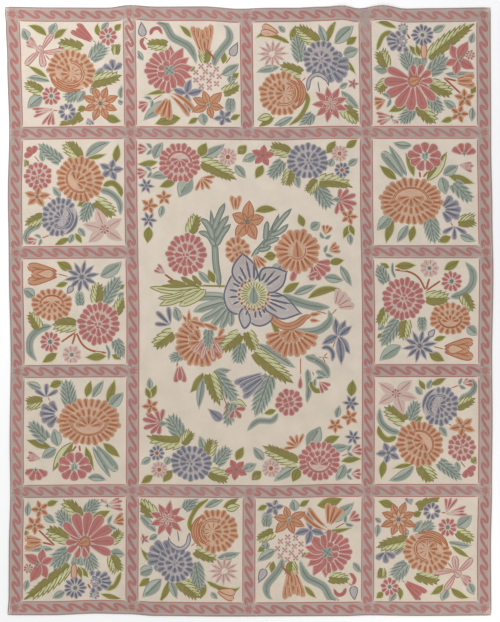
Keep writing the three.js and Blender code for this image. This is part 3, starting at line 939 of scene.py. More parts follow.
# The field's bouquet
BOUQUET = (
    # Far part
    ("fern vine", (
        (3.4, -15.2, 12, -17, 24, -17.4, 33, -18.2, 41, -19, 51.4),
        (3, -17.4, 33, -20.4, 38.4, -25.6, 40.4), (3.2, -17.6, 36, -21, 44, -24.7, 47.2),
        (3, -18, 41, -15.2, 48, -11.9, 55), (3, -17.4, 37, -13.6, 44, -10.1, 48.6),
        (2.8, -17, 33, -13, 40, -9.2, 44.4),
        (2.6, 0.7, 27.9, 6.6, 34, 11.3, 40.5, 15.2, 49.7), (2.8, 8, 36, 8.6, 42, 9.3, 46.2),
        (2.6, 11.3, 40.5, 16.6, 47, 21.5, 52.2), (2.6, 10, 38.6, 15.6, 40.8, 19.7, 44.4),
        (2.6, 7, 34.2, 11, 36, 15.2, 37.7), (2.4, 4.4, 31.4, 8, 32, 10.9, 33.5))),
    ("rust tulip", ((-6.6, 51.3, 7.8, 6.4, 90, 3),)),
    ("green leaf", ((3, 50.6, 12, 3.8, 4, -40), (27.5, 42.7, 7.4, 3.8, 111),
                    (13.4, 28.9, 6.6, 4.6, 188),
                    (39.5, 24.3, 8.3, 3.8, 10), (-17.8, 14.6, 7.8, 3.8, 115))),
    ("flame star", ((-0.8, 45.5, 21.4, 17.4, 84, 5),)),
    ("lime+olive saw", ((-30, 39.5, 10.5, 6, 66),)),
    ("teal+mist leaf", ((30.7, 41.6, 6, 4.4, 32), (17.6, 24.3, 9, 4, 203), (45.3, 23.1, 12, 3.4, 298),
                        (37.1, 17.3, 10, 4, 350), (-20.5, 14.6, 8.7, 3.2, 133))),
    ("rust capped", ((37.6, 36.6, 6.6, 5, 75), (37.8, 29.2, 7.4, 5, 25))),
    ("rust mum", ((-6, 31, 14.6, 13, 100),)),
    ("rust spray", ((1.6, 29.6, 9.4, 11.6, 304, 4),)),
    ("rose mum", ((-31.8, 28.9, 21.8, 20.4, 60),)),
    ("rose half", ((31.4, 25, 20, 18, -48, 120),)),
    ("rose petal", ((24.2, 24.4, 9.5, 4, 248), (28.5, 17.6, 6, 3, 20))),
    ("rust burst", ((24, 30.7, 22.6, 23, 95, 18),)),
    # Left part
    ("teal+mist vine", ((4.6, -12, 7.6, -22, 8, -29.6, 6.6), (4.4, -12.6, 5.6, -21, 3.2, -29, 0.2),
                        (4, -12.8, 3.6, -18.4, -0.6, -25.8, -4.6), (3.6, -12, 2, -15.8, -3, -20.6, -8),
                        (3.4, -11, 1, -12.6, -4, -15.4, -8.6), (3, -10, 0, -9.6, -3.6, -10.2, -7.2))),
    ("olive stem", ((-12, 13.1, 16, 1, 179),)),
    ("olive vine", ((3, -25, 12.6, -36, 12.4, -46, 12.6), (2.6, -27, 13.4, -31.6, 15.6, -34.8, 17.6),
                    (2.6, -32, 13.2, -37.6, 14.8, -41.6, 15.4), (2.4, -24.4, 13.6, -27, 16, -29, 18.6))),
    ("lime vine", ((3.6, -25, 12, -38.6, 10.6, -50.5, 12.3), (4, -24.4, 11.6, -34, 7.6, -45.9, 3.1),
                   (4, -22.4, 11.4, -27.6, 7, -36, 3.1), (2.6, -33, 9.6, -40, 7.4, -46.6, 6.8))),
    ("rust stem", ((-42.8, 18.8, 5.2, 0.8, 325), (-36.6, -20.6, 6.8, 0.8, 268))),
    ("rose spray", ((-42.6, 19.2, 6, 7, 145, 3),)),
    ("blue petal", ((-40.6, -6.4, 9.6, 3.2, 136), (-40.2, -6.2, 9, 3.2, 98), (-40.4, -6.6, 8, 3, 176))),
    ("teal+mist leaf", ((-35.9, -4.8, 8, 4, 106),)),
    ("olive+lime saw", ((-38.9, -10, 12.8, 6.5, 217),)),
    ("teal saw", ((-33, -21, 8.5, 5, 200),)),
    ("rust half", ((-25, -14.4, 27, 26, 236, 276),)),
    ("rust petal", (
        (-34.8, -1, 10.4, 3.4, 308), (-31, 1.4, 8, 3, 270), (-31.6, -4.2, 10, 3.2, 344),
        (-24.6, -5.4, 8.6, 3.2, 338), (-16.6, -13, 6, 3, 60))),
    ("pink petal", ((-22.2, -12, 11, 3, 232), (-21.6, -12.4, 12, 3, 254), (-20.6, -12.4, 12, 3, 280),
                    (-19.8, -12, 10.6, 3, 302))),
    ("teal saw", ((-21, -8.6, 10, 4.4, 266),)),
    ("rose tulip", ((-35.6, -27, 9, 7, 272, 3),)),
    # Near part
    ("green leaf", ((-23.6, -30.1, 13, 4.2, 237, -20), (12.9, -48.7, 6.9, 3.2, 198),
                    (9.2, -1.1, 19, 2.8, 296), (16.1, 10, 10.5, 4, 31), (28.4, 6.4, 19, 4, 14, -50),
                    (30.4, -21, 4, 3, 300))),
    ("lime leaf", ((-10.1, -44.9, 8.5, 4.5, 345),)),
    ("teal+mist leaf", ((-23.6, -32.7, 16.5, 3.4, 262, 14), (-19.1, -30.1, 9.5, 3, 8),
                        (3.3, -15.3, 23.5, 4.6, 327), (21.5, 9.2, 12.8, 3.6, 20),
                        (32.7, -29.5, 7.5, 3, 330))),
    ("teal vine", ((3.2, 13.8, -50.3, 10.8, -54.1, 3.5, -54.5, -1.9, -59.5),
                   (4.4, 17.3, -10, 32.7, -9.6, 39.6, -4.6, 39, 0.8),
                   (4.6, 14.6, 8.9, 21.1, 6.2, 30.7, 3.1, 40, 1.9),
                   (3.2, 28.4, -28.4, 29.2, -38, 28.2, -45.6),
                   (3.6, 27, -22, 33.2, -24.6, 37.6, -28.4, 39.6, -33.4))),
    ("green vine", ((3.2, 29.6, -34.5, 32.7, -39.5, 37.7, -38.7),)),
    ("teal saw", ((-18.6, -30.5, 18.8, 8, 310), (-9.2, -45.3, 12.4, 5.6, 258),
                  (9.6, -31, 22.7, 9, 251), (-5, -15, 11, 7, 262))),
    ("lime+olive saw", ((-20.7, -30.5, 17, 6.5, 288), (-1.6, -9.4, 10.7, 6, 292),
                        (1.5, -19.3, 26, 7.5, 321))),
    ("olive+lime saw", ((-5.2, -10.3, 13, 7, 222),)),
    ("rust thread", ((1, -13.7, -42, -11.9, -48, -14.2, -52.4), (1, 29.6, -1.1, 34, 0, 38, -1.1),
                     (1, 43, -13.8, 40.7, -19.2), (1, 40.7, -1.5, 43, 1.2),
                     (1, 31, -30, 31.7, -31.8))),
    ("blue tulip", ((6.6, -31.4, 15.5, 11, 212, 4),)),
    ("blue bud", ((-14.4, -54.2, 9.4, 5, 140),)),
    ("rose trefoil", ((-8, -48.4, 5.6, 3.2, 305),)),
    ("rose mum", ((19.2, -44.9, 14, 14, 0),)),
    ("rust half", ((20.6, -8.2, 29, 29, 268, 156),)),
    ("flame vine", ((3.8, 8.9, 0, 12.4, -4.4, 18, -6.9, 23.4, -5.6, 27.4, -2.6, 31.4, -1.6),)),
    ("rust bud", ((29.6, -1.4, 6, 2.6, 4), (29.6, -4, 5.4, 2.4, 352))),
    ("faint half", ((42, 1.6, 20, 19, 42, 96),)),
    ("blue leaf", ((43.6, -12.6, 9.8, 3.6, 97), (44, -12.4, 9.2, 3.8, 66), (44.2, -12.4, 8.6, 3.4, 38),
                   (43.8, -12, 9.4, 3.8, 208), (44.4, -12.2, 11, 3.8, 300), (43.8, -12.6, 15, 4, 276, -18))),
    ("blue vine", ((2.8, 35.4, -18.4, 38.6, -18, 41.2, -21, 40.8, -25.4),)),
    ("rust thread", ((1, 34, -22.6, 36.4, -22.8, 38.4, -20.8), (1, 36.2, -22.8, 39, -23.4),
                     (1, 36, -22.8, 37.4, -25.4), (1, 25, -23, 25, -31))),
    ("rose bud", ((24.8, -38.4, 7, 2.6, 88),)),
    ("rose capped", ((32.6, -33.4, 8, 5, 315),)),
    # The large flower, its strokes and its heart
    ("navy patch", (
        (-2.5, 15, -7.5, 20.5, -11.5, 15, -13.6, 8, -11.5, 1, -6, -1.2, -0.5, 3.5),
        (8, 2.5, 11.6, -2, 8.6, -5.6, 4, -7, -0.4, -5, -2.4, 1.4),
        (-3, 3, -6.2, -1.4, -3.4, -8.4, 0.2, -4),
        (8.5, 10.4, 17, 8.6, 25.3, -0.5, 25.4, -0.7, 16.5, -3.4, 11.6, -1.4, 6.5, 2.4),
        (4.4, 15.4, 5.6, 22, 12, 23, 18.5, 20.9, 18.7, 20.7, 16.4, 13.4, 9.4, 9.6),
        (-4.4, 14, -9, 18.4, -8.4, 24, -3.7, 29.9, -3.5, 30, 2, 25, 4, 17.6))),
)


HEART = complex(1.6, 8.9)  # middle of the large flower
HEART_REACH = 7.2
KNOT = 0.75  # half width of a red knot round it
# Streaks on the large flower: their direction from its heart, and their length
STREAKS = (
    (128, 5), (115, 9), (101, 11), (88, 9), (150, 5), (168, 5.4), (186, 5.4), (204, 4.6),
    (60, 6), (48, 9), (36, 10), (-2, 7), (-14, 12), (-24, 11), (-36, 7),
    (-58, 3.6), (-72, 5), (-86, 4.6), (-112, 4),
)


def sew_heart(needle):
    """The heart of the large flower: a pale rayed ring with red knots round it, and a teal eye."""
    for degrees, length in STREAKS:
        root = HEART + (HEART_REACH + KNOT) * polar(degrees)
        needle.blade(bow(Motif(root.real, root.imag, length - KNOT, 0, degrees)), 1.1, "strap",
                     "ink")
    needle.level += TIER
    needle.rounds(HEART, HEART_REACH, ("lime",))
    needle.pad(HEART + np.linspace(-6, 6, 12), np.sqrt(37 - np.linspace(-6, 6, 12) ** 2), "lime")
    needle.level += TIER
    for degrees in np.arange(-7, 353, 14.4):
        ray = HEART + polar(degrees) * np.array([3, 4.8, HEART_REACH - 0.5]) * np.exp(
            1j * np.radians([0, 6, 8]))
        needle.stitch(ray, "moss", 0.2)
    for degrees in np.linspace(105, 362, 15):
        needle.rounds(HEART + (HEART_REACH + 0.2) * polar(degrees), KNOT, ("rust",), 0.5)
    eye = Motif(HEART.real, HEART.imag - 4.8, 10.4, 0, 90)
    needle.level += TIER
    needle.blade(bow(eye), 5, "drop", "teal")


def cut(rows, half_width, half_length):
    """Sews the rows down by rank, each only in its field and where no other row lies already."""
    taken = np.zeros((int(2 * half_width / CELL) + 9, int(2 * half_length / CELL) + 9), bool)
    spread = range(-2, 3)
    near_x, near_y = np.array([(i, j) for i in spread for j in spread if i * i + j * j < 6]).T
    kept = []
    for row in sorted(rows, key=lambda entry: -entry.rank):
        length = np.concatenate([[0], np.cumsum(np.abs(np.diff(row.path)))])
        places = np.linspace(0, length[-1], max(3, int(length[-1] / SAMPLE) + 1))
        fine = np.interp(places, length, row.path.real) + 1j * np.interp(
            places, length, row.path.imag)
        i = np.clip(((fine.real + half_width) / CELL).astype(int) + 4, 2, taken.shape[0] - 3)
        j = np.clip(((fine.imag + half_length) / CELL).astype(int) + 4, 2, taken.shape[1] - 3)
        free = ~taken[i, j] & (abs(fine.real) < half_width) & (abs(fine.imag) < half_length)
        ends = np.flatnonzero(np.diff(np.concatenate([[0], free.astype(int), [0]])))
        for start, stop in zip(ends[::2], ends[1::2]):
            if stop - start < FEWEST:
                continue
            pieces = max(1, math.ceil((stop - start) * SAMPLE / row.step))
            spots = np.linspace(start, stop - 1, pieces + 1)
            kept.append((fine[np.round(spots).astype(int)], row.wool))
            taken[i[start:stop, None] + near_x, j[start:stop, None] + near_y] = True
    return kept


def layers(beds):
    """How high each bed lies, so that no two that meet lie level."""
    boxes = np.array([
        (path.real.min() - half.max(), path.imag.min() - half.max(),
         path.real.max() + half.max(), path.imag.max() + half.max())
        for path, half, _, _ in beds]).reshape(-1, 4)
    levels = np.array([level for _, _, _, level in beds])
    heights = np.zeros(len(beds), int)
    for i, box in enumerate(boxes):
        meets = (boxes[:i, :2] < box[2:]).all(1) & (boxes[:i, 2:] > box[:2]).all(1)
        under = heights[:i][meets & (levels[:i] < levels[i])]
        beside = set(heights[:i][meets & (levels[:i] >= levels[i])])
        heights[i] = under.max(initial=-1) + 1
        while heights[i] in beside:
            heights[i] += 1
    return heights


def linear(colour):
    """A screen colour in linear light."""
    tone = np.array(colour)
    return np.where(tone <= 0.04045, tone / 12.92, ((tone + 0.055) / 1.055) ** 2.4)


# The faces of a strip whose stations have three points, by their place from a station's first
# point: those seen, those hidden below, and the caps at its two ends
Section = namedtuple("Section", "tops floors first last")
RIDGE = Section(((1, 4, 3, 0), (2, 5, 4, 1)), ((0, 3, 5, 2),), (1, 0, 2), (1, 2, 0))
BED = Section(((2, 5, 3, 0),), ((0, 3, 4, 1), (1, 4, 5, 2)), (0, 1, 2), (2, 1, 0))


class Sewing:
    """Gathers the points and faces of many closed strips."""

    def __init__(self, name):
        self.sizes = bpy.context.scene.rug_sizes
        self.chance = random.Random(f"{SEED} {name}")
        self.points, self.strands, self.colours = [], [], []
        self.tops, self.floors, self.caps = [], [], []
        self.count = 0

    def strip(self, path, side, heights, run, across, colour, section):
        """A strip of a left edge, a middle and a right edge."""
        n = len(path)
        edges = np.stack([path + side, path, path - side], 1)
        self.points.append(
            np.stack([edges.real, edges.imag, np.stack(heights, 1)], 2).reshape(-1, 3))
        self.strands.append(np.stack([np.repeat(run, 3), np.tile(across, n)], 1))
        self.colours.append(np.tile(colour, (3 * n, 1)))
        left = self.count + 3 * np.arange(n - 1)[:, None]
        self.tops += [left + face for face in section.tops]
        self.floors += [left + face for face in section.floors]
        end = self.count + 3 * n - 3
        self.caps += [np.add(self.count, section.first), np.add(end, section.last)]
        self.count += 3 * n

    def ridge(self, path, tone):
        """A row of stitches, which stands out of the cloth and is lower and thinner at its ends."""
        taper = np.ones(len(path))
        taper[[0, -1]] = 0.6
        side = 1j * ways(path) * self.sizes.row * 0.75
        rise = self.sizes.crest * self.chance.uniform(0.85, 1.1) * np.where(taper < 1, 0.7, 1)
        low = np.full(len(path), -0.3 * MM)
        run = np.concatenate([[0], np.cumsum(np.abs(np.diff(path)))]) / self.sizes.link
        run = run + self.chance.random()
        colour = tone * self.chance.uniform(0.92, 1.07)
        self.strip(path, side * taper, (low, rise, low), run, (0.0, 0.5, 1.0), colour, RIDGE)

    def bed(self, path, half, tone, height):
        """Plain stitches that lie flat under a motif's rows, darkened to 0.92 of their wool: painted shade
        where they show between the rows.
        """
        n = len(path)
        side = 1j * ways(path) * half * CM
        top, low = np.full(n, height), np.full(n, -0.4 * MM)
        self.strip(path, side, (top, low, top), np.arange(n) * 2.0, (0.0, 2.5, 5.0),
                   tone * 0.92, BED)


def bake_map(mesh, x, y, spans, corners, hidden):
    """Gives each part its own square of the bake map, and all hidden faces one small corner."""
    grid = math.ceil(math.sqrt(len(spans)))
    flat = np.stack([x, y], 1)
    for number, (first, last) in enumerate(spans):
        low = flat[first:last].min(0)
        size = (flat[first:last].max(0) - low).max()
        square = np.array([number % grid, number // grid])
        flat[first:last] = (square + 0.01 + 0.96 * (flat[first:last] - low) / size) / grid
    bake = flat[corners] * 0.97
    under = sum(len(face) for face in hidden)
    bake[:under] = 0.975 + 0.02 * bake[:under]
    mesh.uv_layers.new(name="OFBake").data.foreach_set("uv", bake.ravel())


def sew_down(name, parts):
    """Makes one mesh of the parts' rows and beds, all closed strips that follow the cloth."""
    wools = bpy.context.scene.rug_wools
    tones = {wool: linear(getattr(wools, wool)) for wool, _, _ in WOOLS}
    sewing = Sewing(name)
    spans = []
    for part in parts:
        sign = -1 if part.half_turn else 1
        place = complex(part.x, part.y)
        first = sewing.count
        for path, wool in part.rows:
            sewing.ridge(sign * path * CM + place, tones[wool])
        heights = layers(part.beds)
        for (middle, half, wool, _), height in zip(part.beds, heights):
            sewing.bed(sign * middle * CM + place, half, tones[wool],
                       (0.05 + 0.22 * height / heights.max()) * MM)
        spans.append((first, sewing.count))
    points = np.concatenate(sewing.points)
    x, y = settle(points[:, 0], points[:, 1])
    z = sewing.sizes.ground + lift(x, y) - hollow(x, y) + points[:, 2]
    hidden = np.concatenate(sewing.floors).tolist() + np.stack(sewing.caps).tolist()
    faces = hidden + np.concatenate(sewing.tops).tolist()
    mesh = bpy.data.meshes.new(name)
    mesh.from_pydata(np.stack([x, y, z], 1).tolist(), [], faces)
    mesh.polygons.foreach_set("use_smooth", [False] * len(mesh.polygons))
    tint = mesh.color_attributes.new("wool", "FLOAT_COLOR", "POINT")
    tint.data.foreach_set("color", np.concatenate(
        [np.concatenate(sewing.colours), np.ones((sewing.count, 1))], 1).ravel())
    corners = np.empty(len(mesh.loops), int)
    mesh.loops.foreach_get("vertex_index", corners)
    mesh.uv_layers.new(name="Strand").data.foreach_set(
        "uv", np.concatenate(sewing.strands)[corners].ravel())
    bake_map(mesh, x, y, spans, corners, hidden)
    piece = bpy.data.objects.new(name, mesh)
    bpy.context.scene.collection.objects.link(piece)
    mesh.materials.append(stitch_material())
    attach(piece, "root")


# Materials


def link_sockets(tree, links):
    """Joins outputs to inputs."""
    for output, into in links:
        tree.links.new(output, into)


def new_node(tree, kind, **values):
    """A node whose inputs are set by name."""
    node = tree.nodes.new("ShaderNode" + kind)
    for key, value in values.items():
        if hasattr(node, key):
            setattr(node, key, value)
        else:
            node.inputs[key.replace("_", " ")].default_value = value
    return node


def math_node(tree, operation, first, second):
    """A Math node on two sockets or numbers."""
    node = tree.nodes.new("ShaderNodeMath")
    node.operation = operation
    for place, value in enumerate((first, second)):
        if isinstance(value, (int, float)):
            node.inputs[place].default_value = value
        else:
            tree.links.new(value, node.inputs[place])
    return node.outputs[0]


def yarn_group():
    """Wool yarn: uneven dye, short fuzz and paler worn places over any colour."""
    if "Wool yarn" in bpy.data.node_groups:
        return bpy.data.node_groups["Wool yarn"]
    tree = bpy.data.node_groups.new("Wool yarn", "ShaderNodeTree")
    tree.interface.new_socket("Colour", in_out="INPUT", socket_type="NodeSocketColor")
    tree.interface.new_socket("Colour", in_out="OUTPUT", socket_type="NodeSocketColor")
    tree.interface.new_socket("Roughness", in_out="OUTPUT", socket_type="NodeSocketFloat")
    tree.interface.new_socket("Fuzz", in_out="OUTPUT", socket_type="NodeSocketFloat")
    enter = tree.nodes.new("NodeGroupInput")
    leave = tree.nodes.new("NodeGroupOutput")
    place = tree.nodes.new("ShaderNodeTexCoord")
    dye = new_node(tree, "TexNoise", Scale=9.0, Detail=3.0, Roughness=0.6)
    tuft = new_node(tree, "TexNoise", Scale=260.0, Detail=3.0, Roughness=0.7)
    hair = new_node(tree, "TexNoise", Scale=1100.0, Detail=2.0, Roughness=0.7)
    shade = new_node(tree, "MapRange", From_Min=0.3, From_Max=0.7, To_Min=0.94, To_Max=1.05)
    fleck = new_node(tree, "MapRange", From_Min=0.3, From_Max=0.7, To_Min=0.92, To_Max=1.07)
    rough = new_node(tree, "MapRange", From_Min=0.3, From_Max=0.7, To_Min=0.86, To_Max=1.0)
    tone = new_node(tree, "VectorMath", operation="SCALE")
    link_sockets(tree, (
        (place.outputs["Object"], dye.inputs["Vector"]),
        (place.outputs["Object"], tuft.inputs["Vector"]),
        (place.outputs["Object"], hair.inputs["Vector"]),
        (dye.outputs["Fac"], shade.inputs["Value"]),
        (tuft.outputs["Fac"], fleck.inputs["Value"]),
        (tuft.outputs["Fac"], rough.inputs["Value"]),
        (enter.outputs["Colour"], tone.inputs[0]),
        (math_node(tree, "MULTIPLY", shade.outputs[0], fleck.outputs[0]), tone.inputs["Scale"]),
        (tone.outputs[0], leave.inputs["Colour"]),
        (rough.outputs[0], leave.inputs["Roughness"]),
        (math_node(tree, "ADD", math_node(tree, "MULTIPLY", hair.outputs["Fac"], 0.5),
                   tuft.outputs["Fac"]), leave.inputs["Fuzz"]),
    ))
    return tree


def link_group():
    """Chain links: pairs of slanting strands that meet along the middle of a row. Its Shade is painted shade
    in the grooves between strands and a faint painted highlight on their crests.
    """
    if "Chain links" in bpy.data.node_groups:
        return bpy.data.node_groups["Chain links"]
    tree = bpy.data.node_groups.new("Chain links", "ShaderNodeTree")
    tree.interface.new_socket("Strand", in_out="INPUT", socket_type="NodeSocketVector")
    tree.interface.new_socket("Height", in_out="OUTPUT", socket_type="NodeSocketFloat")
    tree.interface.new_socket("Shade", in_out="OUTPUT", socket_type="NodeSocketFloat")
    enter = tree.nodes.new("NodeGroupInput")
    leave = tree.nodes.new("NodeGroupOutput")
    split = tree.nodes.new("ShaderNodeSeparateXYZ")
    tree.links.new(enter.outputs[0], split.inputs[0])
    across = math_node(tree, "ABSOLUTE", math_node(
        tree, "SUBTRACT", math_node(tree, "FRACT", split.outputs["Y"], 0.0), 0.5), 0.0)
    slant = math_node(tree, "ADD", split.outputs["X"], math_node(tree, "MULTIPLY", across, -1.1))
    strand = math_node(tree, "ABSOLUTE", math_node(
        tree, "SINE", math_node(tree, "MULTIPLY", slant, math.pi), 0.0), 0.0)
    crown = math_node(tree, "SUBTRACT", 1.0, math_node(tree, "MULTIPLY", across, 1.2))
    seam = math_node(tree, "MINIMUM", math_node(tree, "MULTIPLY", across, 9.0), 1.0)
    height = math_node(tree, "MULTIPLY", math_node(
        tree, "MULTIPLY", math_node(tree, "POWER", strand, 0.6), crown),
        math_node(tree, "ADD", math_node(tree, "MULTIPLY", seam, 0.45), 0.55))
    shade = new_node(tree, "MapRange", From_Min=0.1, From_Max=0.7, To_Min=0.80, To_Max=1.04)
    link_sockets(tree, (
        (height, leave.inputs["Height"]),
        (height, shade.inputs["Value"]),
        (shade.outputs[0], leave.inputs["Shade"]),
    ))
    return tree


def wool_surface(name, colour_from, strand_from):
    """A wool material from two functions that give its colour and its strand place."""
    material = bpy.data.materials.new(name)
    material.use_nodes = True
    tree = material.node_tree
    shader = tree.nodes["Principled BSDF"]
    shader.inputs["Sheen Weight"].default_value = 0.12
    shader.inputs["Sheen Roughness"].default_value = 0.6
    shader.inputs["Specular IOR Level"].default_value = 0.12
    yarn = tree.nodes.new("ShaderNodeGroup")
    yarn.node_tree = yarn_group()
    links = tree.nodes.new("ShaderNodeGroup")
    links.node_tree = link_group()
    tone = new_node(tree, "VectorMath", operation="SCALE")
    bump = new_node(tree, "Bump", Strength=0.8, Distance=0.0011)
    height = math_node(tree, "ADD", links.outputs["Height"], math_node(
        tree, "MULTIPLY", yarn.outputs["Fuzz"], 0.35))
    link_sockets(tree, (
        (colour_from(tree), yarn.inputs["Colour"]),
        (strand_from(tree), links.inputs["Strand"]),
        (yarn.outputs["Colour"], tone.inputs[0]),
        # The links' Shade scales the colour: painted shade where the strands dip, painted highlight on their
        # crests.
        (links.outputs["Shade"], tone.inputs["Scale"]),
        (tone.outputs[0], shader.inputs["Base Color"]),
        (yarn.outputs["Roughness"], shader.inputs["Roughness"]),
        (height, bump.inputs["Height"]),
        (bump.outputs["Normal"], shader.inputs["Normal"]),
    ))
    return material


def stitch_material():
    """The wool of single rows, coloured row by row."""
    if "Sewn wool" in bpy.data.materials:
        return bpy.data.materials["Sewn wool"]

    def colour_from(tree):
        tint = tree.nodes.new("ShaderNodeVertexColor")
        tint.layer_name = "wool"
        return tint.outputs["Color"]

    def strand_from(tree):
        strand = tree.nodes.new("ShaderNodeUVMap")
        strand.uv_map = "Strand"
        return strand.outputs["UV"]

    return wool_surface("Sewn wool", colour_from, strand_from)


def ground_material():
    """Cream rows that wander from side to side, with painted light: cooler and paler towards the far edge,
    warmer and darker towards the near one.
    """
    cream = linear(bpy.context.scene.rug_wools.cream)
    sizes = bpy.context.scene.rug_sizes

    def colour_from(tree):
        place = tree.nodes.new("ShaderNodeTexCoord")
        split = tree.nodes.new("ShaderNodeSeparateXYZ")
        ramp = tree.nodes.new("ShaderNodeValToRGB")
        share = new_node(tree, "MapRange", From_Min=-1.5, From_Max=1.5)
        stain = new_node(tree, "TexNoise", Scale=2.6, Detail=4.0, Roughness=0.6)
        tree.links.new(place.outputs["Object"], split.inputs[0])
        tree.links.new(place.outputs["Object"], stain.inputs["Vector"])
        tree.links.new(split.outputs["Y"], share.inputs["Value"])
        blend = math_node(tree, "ADD", share.outputs[0], math_node(
            tree, "MULTIPLY", math_node(tree, "SUBTRACT", stain.outputs["Fac"], 0.5), 0.7))
        tree.links.new(blend, ramp.inputs[0])
        # Painted light: the near end's copy of the cream is shaded warmer and darker, the far end's is lit
        # cooler and paler, and a noise moves the colour at random along this ramp.
        ramp.color_ramp.elements[0].color = (*(cream * (0.965, 0.95, 0.925)), 1)
        ramp.color_ramp.elements[1].color = (*(cream * (1.01, 1.015, 1.035)), 1)
        return ramp.outputs["Color"]

    def strand_from(tree):
        place = tree.nodes.new("ShaderNodeTexCoord")
        split = tree.nodes.new("ShaderNodeSeparateXYZ")
        wave = new_node(tree, "TexNoise", Scale=3.2, Detail=2.0)
        join = tree.nodes.new("ShaderNodeCombineXYZ")
        tree.links.new(place.outputs["Object"], split.inputs[0])
        tree.links.new(place.outputs["Object"], wave.inputs["Vector"])
        rows = math_node(tree, "ADD", math_node(tree, "DIVIDE", split.outputs["Y"], sizes.row),
                         math_node(tree, "MULTIPLY", wave.outputs["Fac"], 7.0))
        along = math_node(tree, "ADD", math_node(tree, "DIVIDE", split.outputs["X"], sizes.link),
                          math_node(tree, "MULTIPLY", math_node(tree, "FLOOR", rows, 0.0), 0.37))
        tree.links.new(along, join.inputs["X"])
        tree.links.new(rows, join.inputs["Y"])
        return join.outputs[0]

    return wool_surface("Ground wool", colour_from, strand_from)


# Bands


def band_runs():
    """The straight runs between two crossings: start and end of each, in centimetres."""
    runs = []
    for column in COLUMNS:
        for far, near_line in zip(LINES, LINES[1:]):
            if column == COLUMNS[2] and (far, near_line) not in (LINES[:2], LINES[4:]):
                continue
            runs.append((complex(column, far) / TO_CM, complex(column, near_line) / TO_CM))
    for line in LINES:
        for left, right in zip(COLUMNS, COLUMNS[1:]):
            if line in LINES[2:4] and COLUMNS[2] in (left, right):
                continue
            runs.append((complex(left, line) / TO_CM, complex(right, line) / TO_CM))
    return runs


def framed(number, lines):
    """The clear place between two bands: its low and high side, in millimetres."""
    low, high = lines[number], lines[number + 1]
    if low > high:
        low, high = high, low
    low_half = OUTER_HALF if low == min(lines) else BAND_HALF
    high_half = OUTER_HALF if high == max(lines) else BAND_HALF
    return low + low_half, high - high_half


def clearings():
    """Low and high corners of each panel and of the field, in centimetres."""
    spots = []
    for column in range(4):
        for line in range(5):
            if line in (0, 4) or column in (0, 3):
                left, right = framed(column, COLUMNS)
                near_side, far_side = framed(line, LINES)
                spots.append((left, near_side, right, far_side))
    spots.append((COLUMNS[1] + BAND_HALF, LINES[4] + BAND_HALF,
                  COLUMNS[3] - BAND_HALF, LINES[1] - BAND_HALF))
    return [tuple(value / TO_CM for value in spot) for spot in spots]


# One wave of the scroll, from crest to crest: along the band, and across it
SCROLL = (
    (0, 0.92), (0.2, 0.66), (0.46, 0.02), (0.7, -0.64), (0.88, -0.92), (1.03, -0.76),
    (1.04, -0.34), (0.92, 0.1), (0.84, 0.5), (0.88, 0.84),
)
SCROLL_HALF = 1.75
ROSETTE = 2.5
WAVES_ACROSS = 7.64
WAVES_ALONG = 7.5
# Bands past these places, in centimetres, are the outer ones
OUTER_X = 110
OUTER_Y = 140


def scroll(start, end):
    """The scroll's middle line between two rosettes."""
    length = abs(end - start)
    way = (end - start) / length
    level = abs(way.imag) < 0.5
    across = 1j * way if level else -1j * way
    pitch = length / (WAVES_ACROSS if level else WAVES_ALONG)
    first = 0.64 * pitch if level else -0.03 * pitch
    knots = [
        value
        for wave in range(-1, 8)
        for u, v in SCROLL
        for spot in (start + way * (first + (wave + u) * pitch) + across * v * SCROLL_HALF,)
        for value in (spot.real, spot.imag)
    ]
    path = smooth(knots)
    along = ((path - start) / way).real
    inside = np.flatnonzero((along > ROSETTE * 0.8) & (along < length - ROSETTE * 0.8))
    return path[inside[0]:inside[-1] + 1]


def frame_row(needle, box, wool, count):
    """A row round a rectangle, which is given by its low and high corners."""
    left, low, right, high = box
    corners = (complex(left, low), complex(right, low), complex(right, high), complex(left, high))
    for a, b in zip(corners, corners[1:] + corners[:1]):
        needle.stitch(np.linspace(a, b, count), wool, 6, STRAIGHT)


def band_rows():
    """Rows of the scrolls and rims, and rows of the ground between them."""
    needle = Needle()
    for start, end in band_runs():
        path = scroll(start, end)
        for off in (0, -1, 1):
            needle.stitch(path + 1j * ways(path) * off * ROW, "madder", 3 - abs(off), SCROLL_STEP)
    for stop in sorted({spot for run in band_runs() for spot in run}, key=abs):
        needle.rounds(stop, 1.8, ("madder",), 5)
        for i in range(8):
            for off in (-0.5, 0.5):
                arm = polar(22.5 + 45 * i)
                ray = stop + arm * (np.array([1.3, 1.9, ROSETTE]) + 1j * off * ROW * np.array(
                    [1.1, 1, 0.2]))
                needle.stitch(ray, "madder", 4, 0.5)
    for left, low, right, high in clearings():
        out = ROW / 2
        frame_row(needle, (left - out, low - out, right + out, high + out), "madder", 24)
    half_w = CLOTH_WIDTH / 2 / CM - 0.25
    half_l = CLOTH_LENGTH / 2 / CM - 0.25
    # The outermost row, in dusty mauve with painted shade of the rug's edge in its colour.
    frame_row(needle, (-half_w, -half_l, half_w, half_l), "edge_mauve_and_shade", 90)
    for start, end in band_runs():
        way = (end - start) / abs(end - start)
        outer_column = min(abs(start.real), abs(end.real)) > OUTER_X
        outer = outer_column or min(abs(start.imag), abs(end.imag)) > OUTER_Y
        half = (OUTER_HALF if outer else BAND_HALF) / TO_CM
        rank = -1 if abs(way.real) > 0.5 else -2
        reach = half - ROW * 1.5
        for off in np.arange(-reach, reach + 0.01, 2 * reach / round(2 * reach / ROW)):
            path = np.linspace(start - way * half, end + way * half, 28) + 1j * way * off
            needle.stitch(path, "mauve", rank, STRAIGHT)
    return needle.rows


